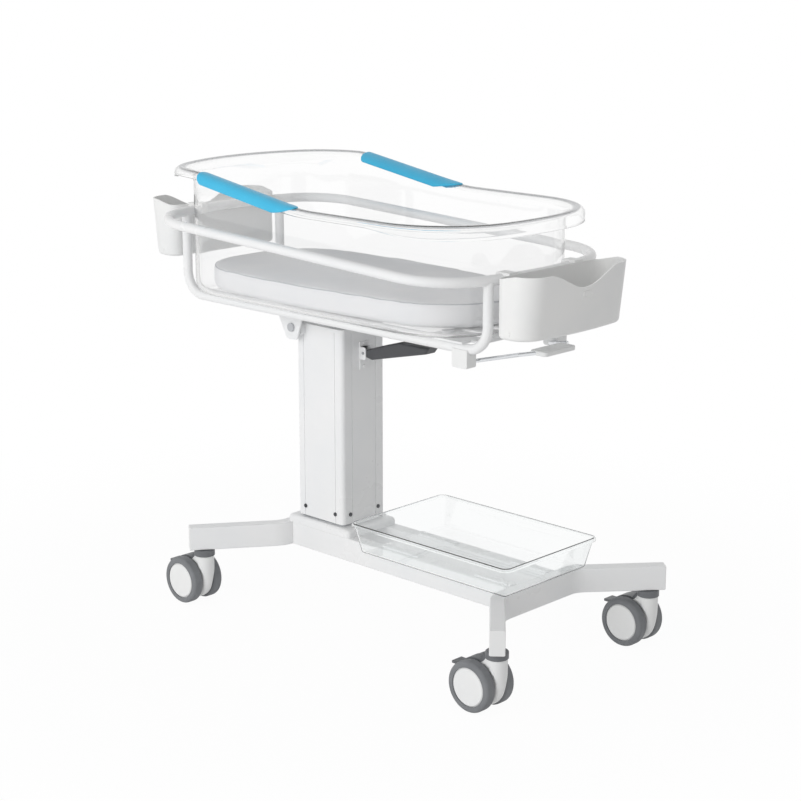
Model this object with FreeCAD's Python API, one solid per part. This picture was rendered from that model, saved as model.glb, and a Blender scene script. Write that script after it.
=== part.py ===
import FreeCAD, Part
import math
import os

# Hospital bassinet: clear tub on a tilting tube frame, gas-spring column, castered base.
# Millimetres, +Z up.  +X runs to the foot end, +Y to the far side.  The origin is on the
# floor, under the middle of the overall length.

V = FreeCAD.Vector
UP = V(0, 0, 1)
ALONG = V(1, 0, 0)
ACROSS = V(0, 1, 0)

# ---------------------------------------------------------------- driving dimensions

running = 0.05          # radial clearance of pins, axles and stems
gap = 0.3               # clearance between pieces that move apart

# casters
wheel_d = 100.0
wheel_width = 24.0
wheel_trail = 38.0      # stem to axle, measured along X
web_width = 27.0        # housing between the two wheels
web_gap = 1.0
hub_share = 0.76        # hub diameter as a share of the wheel
axle_d = 8.0
stem_d = 12.0
stem_up = 26.0          # stem inside the arm
swivel_d = 41.0
caster_h = 123.0        # floor to the underside of the arms
cap_h = 13.0
cap_air = 1.0           # between the cap and the arm
strip_t = 7.0           # strip of the hood that arches over the wheels
pedal_pivot = (-41.0, 27.0)         # from the axle, along X and up
pedal_tip = 63.0        # axle to the pedal's tip, along X
pedal_t = 5.0
pedal_pin_d = 4.0
pedal_barrel_d = 9.0
pedal_lug_t = 4.0

# base
tube_w = 30.0
tube_h = 50.0
tube_wall = 2.5
tube_edge_r = 3.0
arm_bend = 60.0
beam_y = 57.0           # middle of each long beam
head_bar_x = -188.0
head_bar_half = 85.0
head_stem = (-289.0, 222.0)
foot_bar_x = 445.0
foot_bar_half = 115.0
foot_stem = (546.0, 231.0)
arm_past_stem = 30.0
end_plug_l = 14.0
end_lid_t = 2.0
base_plate_t = 16.0
base_plate_past = 25.0  # plate past the column along X
base_plate_half = 72.0
base_plate_r = 9.0
tray_rests = ((88.0, 188.0), (340.0, 430.0))
tray_rest_w = 17.0
tray_rest_t = 3.0

# column
column_x = -96.0
column_l = 136.0
column_w = 125.0
column_wall = 4.0
column_r = 10.0
column_rise = 414.0     # base plate to the column's top, lowered
column_foot_air = 5.0   # column bottom above the base plate
groove_w = 2.0
groove_d = 1.0
groove_in_x = 22.0      # groove from the corner, on the long faces
groove_in_y = 28.0      # groove from the corner, on the short faces
mast_gap = 8.0          # glide thickness between mast and column
mast_wall = 3.0
mast_below = 68.0       # mast top below the lowered column's top
mast_flange_t = 12.0
glide_h = 40.0
glide_half = (50.0, 46.0)           # along X on the long faces, along Y on the short ones
screw_d = 5.0
screw_head_d = 8.5
lift_travel = 200.0
spring_d = 28.0
spring_wall = 2.0
spring_rod_d = 10.0
spring_l = 244.0
release_pin_d = 4.0
release_pin_up = 14.0   # pin above the rod's end
head_plate_t = 8.0

# height lever
lever_pivot_out = 12.0  # pivot in front of the column
lever_pivot_down = 45.0             # pivot below the column's top
lever_pin_d = 6.0
lever_arm_t = 5.0
lever_arm_w = 16.0
lever_past_pin = 2.0    # arm past the release pin
lever_tip = (166.0, 30.0)           # arm's tip from the pivot, along X and up
lever_bracket_w = 26.0
lever_bracket_z = (-36.0, 22.0)     # from the pivot
lever_bracket_t = 3.0
grip_half_w = 17.0
grip_from = 16.0        # lever pivot to the grip, along X
grip_profile = ((-6, 9), (36, 23), (90, 39), (172, 39), (161, 25), (10, -10), (-6, -7))

# tilting frame
rail_d = 20.0
rail_wall = 1.5
rail_half_w = 248.0
rail_up = 155.6         # rail above the cradle tubes, at X = 0
rail_slope = -0.046     # the rail falls towards the foot
rail_head = -438.0
rail_foot = 444.5
rail_corner_r = 119.0
rail_corner_y = 129.0
cradle_y = 134.0
cradle_up = 45.0        # cradle tubes above the tilt pivot
cradle_bend = 48.0
frame_plate_t = 4.0
frame_plate_r = 12.0
saddle_reach = (65.0, 51.0)         # from the pivot, to the head and to the foot
saddle_window = (35.0, 27.0, 58.0)  # from the pivot, to the head and to the foot, half width
foot_plate_in = 40.5    # foot plate's edge from the rail's end
foot_plate_l = 108.0
foot_notch = 14.0       # plate cut back where the cradle tubes turn up
plate_over = 12.0       # plates past the middle of the cradle tubes
ear_t = 4.0
ear_air = 3.3           # saddle's ear to the cheek of the column head
ear_low = 26.0          # ear below the tilt pivot
pivot_in = 7.0          # pivot in from the column's head face
pivot_d = 10.0
pivot_head_d = 18.0
cheek_t = 12.0
cheek_air = 0.2
cheek_half = 20.0
tilt_arm = 42.0         # tilt pivot up to the tilt spring
tilt_spring_y = 45.0
tilt_spring_d = 22.0
tilt_rod_d = 8.0
tilt_spring_l = 278.0
tilt_hanger = (27.0, 33.0)          # hanger from the foot plate's head edge
tilt_eye_d = 16.0
tilt_eye_air = 1.5
pad_d = 24.0
pad_in = 18.0
pad_h = 4.7

# tilt release
block_l = 38.0
block_w = 26.0
block_in = 33.0         # block's middle from the foot plate's edge
block_below = 36.0      # block below the cradle tube's middle
bail_d = 8.0
bail_pivot_at = (11.0, -26.0)       # from the block's middle and the cradle tube
bail_turn_y = 107.0
bail_route = ((81.0, 72.0, -10.0), (101.0, 40.0, -8.0))     # from the block's middle
paddle = (40.0, 92.0, 7.0)

# tub
rim_past_rail = (0.0, 4.5, 3.0)     # rim past the rail at the head, the foot and each side
rim_head_corner_at = (176.0, 95.0)  # corner arcs' centres, from the rim's end and the middle
rim_foot_corner_at = (194.0, 61.0)
tub_depth = 218.0       # under the tub to the rim's top at the foot
rim_rise = 47.0         # the rim is higher at the head
rim_slope_from = 176.0  # from the rim's head end
rim_slope_l = 290.0
rim_ease = 220.0        # radius where the rim turns into its slope
rim_shoulder = 9.0
lip_end = 27.0
lip_side = 13.0
lip_taper = (32.0, 132.0, 239.0, 77.0)      # from the head end, then from the foot end
rim_over = 38.5         # rim past the tub wall
tub_wall = 4.0
tub_floor_r = 28.0
grip_thick = 3.0        # grip above the rim
grip_past = 4.0         # grip outside the rim
grip_in = 27.0          # grip over the flange
grip_low = 23.0
grip_head_r = 12.0
grip_taper = 62.0       # length of the tapered foot end

# mattress
mattress_t = 54.0
mattress_air = 5.5      # mattress to the tub wall at the head and the widest place
mattress_short = 38.5   # mattress to the tub wall at the foot
mattress_wide_at = 310.0            # widest place from the head end
mattress_corner_half = (178.0, 158.0)       # half widths where the sides would meet the ends
mattress_corner_r = (158.0, 170.0)
mattress_side_out = 8.5             # from the widest place out to where straight sides would meet
mattress_round = 16.0

# bins
bin_half_w = 150.0
bin_depth = 89.0
bin_draft = 14.0
bin_bow = 9.0           # front bulges past its corners
bin_back_r = 26.0
bin_front_r = 44.0
bin_wall = 3.0
bin_air = 1.5           # rail to the bin's back
bin_drop = 101.0        # rail middle down to the bin's bottom
bin_h = 120.0
bin_back_h = 111.0
bin_wave = 32.0
bin_wave_half = 104.0
bin_foot_r = 8.0
hook_y = 95.0
hook_w = 24.0
hook_t = 3.2
hook_low = 7.0
stud_d = 8.0
label_size = (1.2, 26.0, 13.0)
label_at = (6.0, 74.0)  # across, and up from the bin's bottom

# tray
tray_rim_x = (66.0, 489.0)
tray_rim_half = 141.5
tray_flare = 12.0       # walls lean out from the floor to the lip
tray_h = 64.0
tray_wall = 3.0
tray_r = 10.0
tray_foot_r = 4.5
tray_lip = 5.0

# ---------------------------------------------------------------- sizes worked out

wheel_r = wheel_d / 2
wheel_y = web_width / 2 + web_gap + wheel_width / 2
base_top = caster_h + tube_h
plate_top = base_top + base_plate_t
column_bottom = plate_top + column_foot_air
column_top = plate_top + column_rise
mast_top = column_top - mast_below
spring_top = plate_top + spring_l
tray_z = base_top + tray_rest_t
inner_l = column_l - 2 * column_wall
inner_w = column_w - 2 * column_wall
mast_l = inner_l - 2 * mast_gap
mast_w = inner_w - 2 * mast_gap
column_face = column_x + column_l / 2
head_top = column_top + head_plate_t
cheek_y = column_w / 2 + cheek_air
ear_y = cheek_y + cheek_t + ear_air + ear_t / 2
lever_pivot = (column_face + lever_pivot_out, column_top - lever_pivot_down)
pivot_x = column_x - column_l / 2 + pivot_in
pivot_z = column_top
cradle_z = pivot_z + cradle_up
cradle_top = cradle_z + rail_d / 2
rail_z = cradle_z + rail_up
saddle_x = (pivot_x - saddle_reach[0], pivot_x + saddle_reach[1])
foot_plate_x = (rail_foot - foot_plate_in - foot_plate_l, rail_foot - foot_plate_in)
tilt_spring_z = pivot_z + tilt_arm
tilt_spring_end = foot_plate_x[0] + tilt_hanger[0] - 1
tilt_spring_x = (tilt_spring_end - tilt_spring_l, tilt_spring_end)
block_x = foot_plate_x[1] - block_in
bail_pivot = (block_x + bail_pivot_at[0], cradle_z + bail_pivot_at[1])
pad_top = cradle_top + frame_plate_t + pad_h
tub_bottom = pad_top + gap
floor_z = tub_bottom + tub_wall
rim_head = rail_head - rim_past_rail[0]
rim_foot = rail_foot + rim_past_rail[1]
rim_half_w = rail_half_w + rim_past_rail[2]
rim_head_corner = (rim_head + rim_head_corner_at[0], rim_head_corner_at[1])
rim_foot_corner = (rim_foot - rim_foot_corner_at[0], rim_foot_corner_at[1])
rim_top_foot = tub_bottom + tub_depth
rim_top_head = rim_top_foot + rim_rise
rim_slope_x = (rim_head + rim_slope_from, rim_head + rim_slope_from + rim_slope_l)
high = rim_top_head + 100       # above everything
bin_head_x = rail_head - rail_d / 2 - bin_air
bin_foot_x = rail_foot + rail_d / 2 + bin_air


def arm_end(stem, centre_x, half):
    """End of an arm that runs from its crossbar through the caster stem."""
    dx = stem[0] - centre_x
    dy = stem[1] - half
    length = math.hypot(dx, dy)
    share = (length + arm_past_stem) / length
    return (centre_x + dx * share, half + dy * share)


head_arm_end = arm_end(head_stem, head_bar_x, head_bar_half)
foot_arm_end = arm_end(foot_stem, foot_bar_x, foot_bar_half)
nodes = {}


# ---------------------------------------------------------------- helpers

def box(x0, x1, y0, y1, z0, z1):
    return Part.makeBox(x1 - x0, y1 - y0, z1 - z0, V(x0, y0, z0))


def rod(diameter, start, direction, length):
    return Part.makeCylinder(diameter / 2, length, V(*start), direction)


def mirror_y(shape):
    return shape.mirror(V(0, 0, 0), ACROSS)


def both_sides(shape):
    """The shape and its mirror image on the far side, as separate solids."""
    return Part.makeCompound([shape, mirror_y(shape)])


def arc(start, middle, end):
    return Part.Arc(V(*start), V(*middle), V(*end)).toShape()


def line(start, end):
    return Part.LineSegment(V(*start), V(*end)).toShape()


def polygon_wire(points):
    closed = list(points) + [points[0]]
    return Part.makePolygon([V(*p) for p in closed])


def extrude(wire, direction):
    return Part.Face(wire).extrude(direction)


def side_profile(points, half_width):
    """Solid of an outline in the XZ plane, centred on Y = 0."""
    wire = polygon_wire([(x, -half_width, z) for x, z in points])
    return extrude(wire, V(0, 2 * half_width, 0))


def bent_path(points, radii):
    """Straight runs joined by tangent arcs; one radius for each inner point."""
    pts = [V(*p) for p in points]
    edges = []
    start = pts[0]
    for i, radius in enumerate(radii, start=1):
        back = (pts[i - 1] - pts[i]).normalize()
        ahead = (pts[i + 1] - pts[i]).normalize()
        half_angle = back.getAngle(ahead) / 2
        reach = radius / math.tan(half_angle)
        bisector = (back + ahead).normalize()
        centre = pts[i] + bisector * (radius / math.sin(half_angle))
        first = pts[i] + back * reach
        last = pts[i] + ahead * reach
        middle = centre - bisector * radius
        if (first - start).Length > 1e-6:
            edges.append(Part.LineSegment(start, first).toShape())
        edges.append(Part.Arc(first, middle, last).toShape())
        start = last
    edges.append(Part.LineSegment(start, pts[-1]).toShape())
    return Part.Wire(edges)


def sweep(path, section, binormal):
    """Solid of a closed section swept along a flat path."""
    maker = Part.BRepOffsetAPI.MakePipeShell(path)
    maker.setBiNormalMode(binormal)
    maker.setTransitionMode(1)
    maker.add(section, False, False)
    maker.build()
    maker.makeSolid()
    return maker.shape()


def circle_wire(radius, centre, normal):
    return Part.Wire([Part.makeCircle(radius, V(*centre), normal)])


def round_tube(path, diameter, wall, start, heading, binormal):
    outer = sweep(path, circle_wire(diameter / 2, start, heading), binormal)
    inner = sweep(path, circle_wire(diameter / 2 - wall, start, heading), binormal)
    return outer.cut(inner)


def oval_wire(head, foot, half_w, head_corner, foot_corner, z=0.0):
    """Closed outline: straight sides, corner arcs and a flatter arc across each end."""
    ends = []
    for end_x, (cx, cy) in ((foot, foot_corner), (head, head_corner)):
        radius = half_w - cy
        reach = abs(end_x - cx)
        big = (reach ** 2 + cy ** 2 - radius ** 2) / (2 * (reach - radius))
        sign = 1 if end_x > cx else -1
        big_cx = end_x - sign * big
        turn = math.atan2(cy, sign * (cx - big_cx))
        meet = (big_cx + sign * big * math.cos(turn), big * math.sin(turn))
        half_turn = (turn + math.pi / 2) / 2
        on_corner = (cx + sign * radius * math.cos(half_turn), cy + radius * math.sin(half_turn))
        ends.append((end_x, cx, meet, on_corner))
    (fx, fcx, fmeet, fcorner), (hx, hcx, hmeet, hcorner) = ends
    edges = [
        line((hcx, -half_w, z), (fcx, -half_w, z)),
        arc((fcx, -half_w, z), (fcorner[0], -fcorner[1], z), (fmeet[0], -fmeet[1], z)),
        arc((fmeet[0], -fmeet[1], z), (fx, 0, z), (fmeet[0], fmeet[1], z)),
        arc((fmeet[0], fmeet[1], z), (fcorner[0], fcorner[1], z), (fcx, half_w, z)),
        line((fcx, half_w, z), (hcx, half_w, z)),
        arc((hcx, half_w, z), (hcorner[0], hcorner[1], z), (hmeet[0], hmeet[1], z)),
        arc((hmeet[0], hmeet[1], z), (hx, 0, z), (hmeet[0], -hmeet[1], z)),
        arc((hmeet[0], -hmeet[1], z), (hcorner[0], -hcorner[1], z), (hcx, -half_w, z)),
    ]
    return Part.Wire(edges)


def rounded_rect(x0, x1, half_w, r_low, r_high, z):
    """Outline with corner radius r_low at x0 and r_high at x1."""
    k = 1 - math.sqrt(0.5)
    edges = [
        line((x0 + r_low, -half_w, z), (x1 - r_high, -half_w, z)),
        arc((x1 - r_high, -half_w, z), (x1 - k * r_high, -half_w + k * r_high, z),
            (x1, -half_w + r_high, z)),
        line((x1, -half_w + r_high, z), (x1, half_w - r_high, z)),
        arc((x1, half_w - r_high, z), (x1 - k * r_high, half_w - k * r_high, z),
            (x1 - r_high, half_w, z)),
        line((x1 - r_high, half_w, z), (x0 + r_low, half_w, z)),
        arc((x0 + r_low, half_w, z), (x0 + k * r_low, half_w - k * r_low, z),
            (x0, half_w - r_low, z)),
        line((x0, half_w - r_low, z), (x0, -half_w + r_low, z)),
        arc((x0, -half_w + r_low, z), (x0 + k * r_low, -half_w + k * r_low, z),
            (x0 + r_low, -half_w, z)),
    ]
    return Part.Wire(edges)


def edges_where(shape, test):
    return [e for e in shape.Edges if test(e)]


def fillet_where(shape, radius, test):
    return shape.makeFillet(radius, edges_where(shape, test))


# ---------------------------------------------------------------- base

def bar_section(wall):
    """Outline of the bars' rectangular tube in the YZ plane; its corners are rounded."""
    radius = max(tube_edge_r - wall, 0.5)
    flat = rounded_rect(-tube_h / 2 + wall, tube_h / 2 - wall, tube_w / 2 - wall, radius, radius, 0)
    flat.rotate(V(0, 0, 0), ACROSS, 90)
    return flat


def cross_arms(centre_x, half, end):
    """Crossbar with an arm splayed out to each side, bent from one rectangular tube."""
    z = caster_h + tube_h / 2
    points = [(end[0], -end[1], z), (centre_x, -half, z), (centre_x, half, z), (end[0], end[1], z)]
    path = bent_path(points, [arm_bend, arm_bend])
    start = V(*points[0])
    heading = (V(*points[1]) - start).normalize()

    def section(wall):
        wire = bar_section(wall)
        wire.rotate(V(0, 0, 0), UP, math.degrees(math.atan2(heading.y, heading.x)))
        wire.translate(start)
        return wire

    outer = sweep(path, section(0), UP)
    inner = sweep(path, section(tube_wall), UP)
    return outer.cut(inner)


def end_cap(end, corner_x, corner_y):
    """Plug that closes an arm's open end."""
    heading = (V(end[0], end[1], 0) - V(corner_x, corner_y, 0)).normalize()
    inside = extrude(bar_section(tube_wall), V(-end_plug_l, 0, 0))
    cover = extrude(bar_section(0), V(end_lid_t, 0, 0))
    cover = fillet_where(cover, end_lid_t * 0.7, lambda e: e.BoundBox.XMin > end_lid_t - 0.01)
    cap = inside.fuse(cover)
    angle = math.degrees(math.atan2(heading.y, heading.x))
    cap.rotate(V(0, 0, 0), UP, angle)
    cap.translate(V(end[0], end[1], caster_h + tube_h / 2))
    return cap


def stem_hole(stem, sign):
    return rod(stem_d, (stem[0], sign * stem[1], caster_h - 1), UP, tube_wall + 2)


def make_base():
    head = cross_arms(head_bar_x, head_bar_half, head_arm_end)
    foot = cross_arms(foot_bar_x, foot_bar_half, foot_arm_end)
    for sign in (-1, 1):
        head = head.cut(stem_hole(head_stem, sign))
        foot = foot.cut(stem_hole(foot_stem, sign))
    nodes["head_crossbar"] = head
    nodes["foot_crossbar"] = foot
    x0 = head_bar_x + tube_w / 2
    x1 = foot_bar_x - tube_w / 2
    section = bar_section(0)
    section.translate(V(x0, beam_y, caster_h + tube_h / 2))
    bore = bar_section(tube_wall)
    bore.translate(V(x0 - 1, beam_y, caster_h + tube_h / 2))
    beam = extrude(section, V(x1 - x0, 0, 0)).cut(extrude(bore, V(x1 - x0 + 2, 0, 0)))
    y0 = beam_y - tube_w / 2 + tube_edge_r
    for rx0, rx1 in tray_rests:
        rest = box(rx0, rx1, y0, y0 + tray_rest_w, base_top - 1, tray_z)
        beam = beam.fuse(fillet_where(rest, 2.0, lambda e: e.BoundBox.ZMin > tray_z - 0.01))
    nodes["base_beams"] = both_sides(beam.removeSplitter())
    caps = [end_cap(head_arm_end, head_bar_x, head_bar_half),
            end_cap(foot_arm_end, foot_bar_x, foot_bar_half)]
    nodes["arm_end_caps"] = Part.makeCompound([c for cap in caps for c in (cap, mirror_y(cap))])
    reach = column_l / 2 + base_plate_past
    plate = extrude(rounded_rect(column_x - reach, column_x + reach, base_plate_half,
                                 base_plate_r + 1, base_plate_r + 1, base_top), V(0, 0, base_plate_t))
    nodes["base_plate"] = fillet_where(plate, base_plate_r, lambda e: e.BoundBox.ZMin > plate_top - 0.01)


# ---------------------------------------------------------------- casters

def make_caster(name, stem_x, stem_y):
    axle_x = stem_x - wheel_trail
    axle = (axle_x, stem_y, wheel_r)
    swivel_low = wheel_r + 14
    cap_low = caster_h - cap_air - cap_h
    half = web_width / 2

    web_r = wheel_r - 6
    web = rod(2 * web_r, (axle_x, stem_y - half, wheel_r), ACROSS, web_width)
    neck = polygon_wire([(axle_x, stem_y - half, wheel_r + web_r * 0.9),
                         (stem_x - 6, stem_y - half, cap_low),
                         (stem_x + swivel_d / 2 - 2, stem_y - half, cap_low),
                         (stem_x + swivel_d / 2 - 4, stem_y - half, wheel_r + 4),
                         (axle_x + web_r * 0.94, stem_y - half, wheel_r - 14),
                         (axle_x, stem_y - half, wheel_r)])
    web = web.fuse(extrude(neck, V(0, web_width, 0)))
    swivel = Part.makeCone(swivel_d / 2 - 7, swivel_d / 2, cap_low - swivel_low,
                           V(stem_x, stem_y, swivel_low))
    for side in (-1, 1):
        y_in = stem_y + side * half
        y_out = y_in + side * wheel_width
        clear = box(axle_x - wheel_d, stem_x + wheel_d, min(y_in, y_out), max(y_in, y_out), 0, caster_h)
        wheel_room = rod(wheel_d + 4, (axle_x, stem_y + side * half, wheel_r), ACROSS * side, wheel_width)
        swivel = swivel.cut(clear.common(wheel_room))
    housing = web.fuse(swivel).removeSplitter()
    housing = housing.cut(rod(stem_d + 2 * running, (stem_x, stem_y, wheel_r + 8), UP, caster_h))
    axle_len = 2 * wheel_y + wheel_width - 8
    pin = rod(axle_d, (axle_x, stem_y - axle_len / 2, wheel_r), ACROSS, axle_len)
    nodes[name + "_housing"] = housing.fuse(pin).removeSplitter()

    # hood: cap round the stem, strip arching back over the wheels, lugs for the pedal
    cap_top = cap_low + cap_h
    cap = rod(swivel_d + 3, (stem_x, stem_y, cap_low), UP, cap_h)
    cap = fillet_where(cap, 2.0, lambda e: e.BoundBox.ZMin > cap_top - 0.01)
    low_r = web_r + 0.2
    high_r = low_r + strip_t
    px = axle_x + pedal_pivot[0]
    pz = wheel_r + pedal_pivot[1]
    last = math.atan2(pedal_pivot[1], pedal_pivot[0])

    def polar(radius, angle):
        return (axle_x + radius * math.cos(angle), stem_y - half, wheel_r + radius * math.sin(angle))

    cap_edge = (stem_x - swivel_d / 4, stem_y - half, cap_top - 2)
    crown = math.radians(80)
    climb = ((cap_edge[0] + polar(high_r, crown)[0]) / 2, stem_y - half,
             (cap_edge[2] + polar(high_r, crown)[2]) / 2 + 1.5)
    under_cap = (cap_edge[0], stem_y - half, cap_low)
    strip = Part.Wire([
        arc(cap_edge, climb, polar(high_r, crown)),
        arc(polar(high_r, crown), polar(high_r, (crown + last) / 2), polar(high_r, last)),
        line(polar(high_r, last), polar(low_r, last)),
        arc(polar(low_r, last), polar(low_r, (last + 0.9) / 2), polar(low_r, 0.9)),
        line(polar(low_r, 0.9), under_cap),
        line(under_cap, cap_edge),
    ])
    strip = extrude(strip, V(0, web_width, 0))
    barrel_r = pedal_barrel_d / 2
    lug = rod(pedal_barrel_d + 2, (px, stem_y - half, pz), ACROSS, web_width)
    lug = lug.cut(rod(2 * low_r, (axle_x, stem_y - half - 1, wheel_r), ACROSS, web_width + 2))
    inner = half - pedal_lug_t
    room = rod(pedal_barrel_d + 3, (px, stem_y - inner, pz), ACROSS, 2 * inner)
    pedal_pin = rod(pedal_pin_d, (px, stem_y - inner - 1, pz), ACROSS, 2 * inner + 2)
    hood = cap.fuse([strip.cut(housing), lug]).cut(room).fuse(pedal_pin)
    hood = hood.cut(rod(stem_d + 8, (stem_x, stem_y, 0), UP, caster_h + 1)).removeSplitter()
    nodes[name + "_hood"] = hood

    # brake pedal: barrel on the hood's pin, tread sticking out behind the wheels
    tip = axle_x - pedal_tip
    broad = px - barrel_r - 3
    tread = box(tip, broad, stem_y - half + gap, stem_y + half - gap, pz - pedal_t / 2, pz + pedal_t / 2)
    tread = fillet_where(tread, 2.0, lambda e: e.BoundBox.XMax < tip + 0.01)
    tongue = box(broad - 1, px, stem_y - inner + gap, stem_y + inner - gap,
                 pz - pedal_t / 2, pz + pedal_t / 2)
    barrel = rod(pedal_barrel_d, (px, stem_y - inner + gap, pz), ACROSS, 2 * (inner - gap))
    pedal = tread.fuse([tongue, barrel])
    pedal = pedal.cut(rod(pedal_pin_d + 2 * running, (px, stem_y - half, pz), ACROSS, web_width))
    nodes[name + "_pedal"] = pedal.removeSplitter()

    tyres = []
    hubs = []
    hub_r = wheel_r * hub_share
    for side in (-1, 1):
        middle = stem_y + side * wheel_y
        inner_y = -side * wheel_width / 2
        outer_y = side * wheel_width / 2
        tyre = rod(wheel_d, (axle_x, middle - wheel_width / 2, wheel_r), ACROSS, wheel_width)
        tyre = fillet_where(tyre, 6.0, lambda e: e.BoundBox.XLength > wheel_d - 1)
        tyre = tyre.cut(rod(2 * hub_r, (axle_x, middle - wheel_width, wheel_r), ACROSS, 2 * wheel_width))
        tyres.append(tyre)
        r_axle = axle_d / 2 + running
        disc = [(r_axle, inner_y + side * 2), (hub_r, inner_y + side * 5), (hub_r, outer_y - side * 3),
                (hub_r - 3, outer_y - side * 0.5), (hub_r * 0.5, outer_y), (0, outer_y),
                (0, outer_y - side * 3), (r_axle, outer_y - side * 3)]
        wire = polygon_wire([(axle_x + r, middle + y, wheel_r) for r, y in disc])
        hubs.append(Part.Face(wire).revolve(V(axle_x, 0, wheel_r), ACROSS, 360))
    nodes[name + "_tyres"] = Part.makeCompound(tyres)
    nodes[name + "_hubs"] = Part.makeCompound(hubs)


def make_casters():
    stems = []
    for end, (x, y) in (("head", head_stem), ("foot", foot_stem)):
        for side, sign in (("near", -1), ("far", 1)):
            make_caster("caster_" + end + "_" + side, x, sign * y)
            stem = rod(stem_d, (x, sign * y, wheel_r + 12), UP, caster_h + stem_up - wheel_r - 12)
            stems.append(stem)
    nodes["caster_stems"] = Part.makeCompound(stems)


# ---------------------------------------------------------------- column

def column_tube(length, width, wall, z0, z1, radius):
    outer = extrude(rounded_rect(column_x - length / 2, column_x + length / 2, width / 2,
                                 radius, radius, z0), V(0, 0, z1 - z0))
    inner = extrude(rounded_rect(column_x - length / 2 + wall, column_x + length / 2 - wall,
                                 width / 2 - wall, max(radius - wall, 0.5), max(radius - wall, 0.5),
                                 z0 - 1), V(0, 0, z1 - z0 + 2))
    return outer.cut(inner)


def glides(inner_half_l, inner_half_w, thick, z0):
    """Four pads round a tube, one on each face, standing outwards from it."""
    wide, deep = glide_half
    x0 = column_x + inner_half_l
    x1 = column_x - inner_half_l
    along = box(column_x - wide, column_x + wide, inner_half_w, inner_half_w + thick, z0, z0 + glide_h)
    foot = box(x0, x0 + thick, -deep, deep, z0, z0 + glide_h)
    head = box(x1 - thick, x1, -deep, deep, z0, z0 + glide_h)
    return Part.makeCompound([along, mirror_y(along), foot, head])


def column_screws():
    screws = []
    z = column_bottom + 20
    length = column_wall + 4
    head_t = 1.6
    for side in (-1, 1):
        for shift in (-0.33, 0.33):
            x = column_x + shift * column_l
            y = side * column_w / 2
            head = rod(screw_head_d, (x, y, z), ACROSS * side, head_t)
            shank = rod(screw_d, (x, y - side * length, z), ACROSS * side, length)
            screws.append(head.fuse(shank))
            x = column_x + side * column_l / 2
            y = shift * column_w
            head = rod(screw_head_d, (x, y, z), ALONG * side, head_t)
            shank = rod(screw_d, (x - side * length, y, z), ALONG * side, length)
            screws.append(head.fuse(shank))
    return screws


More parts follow.
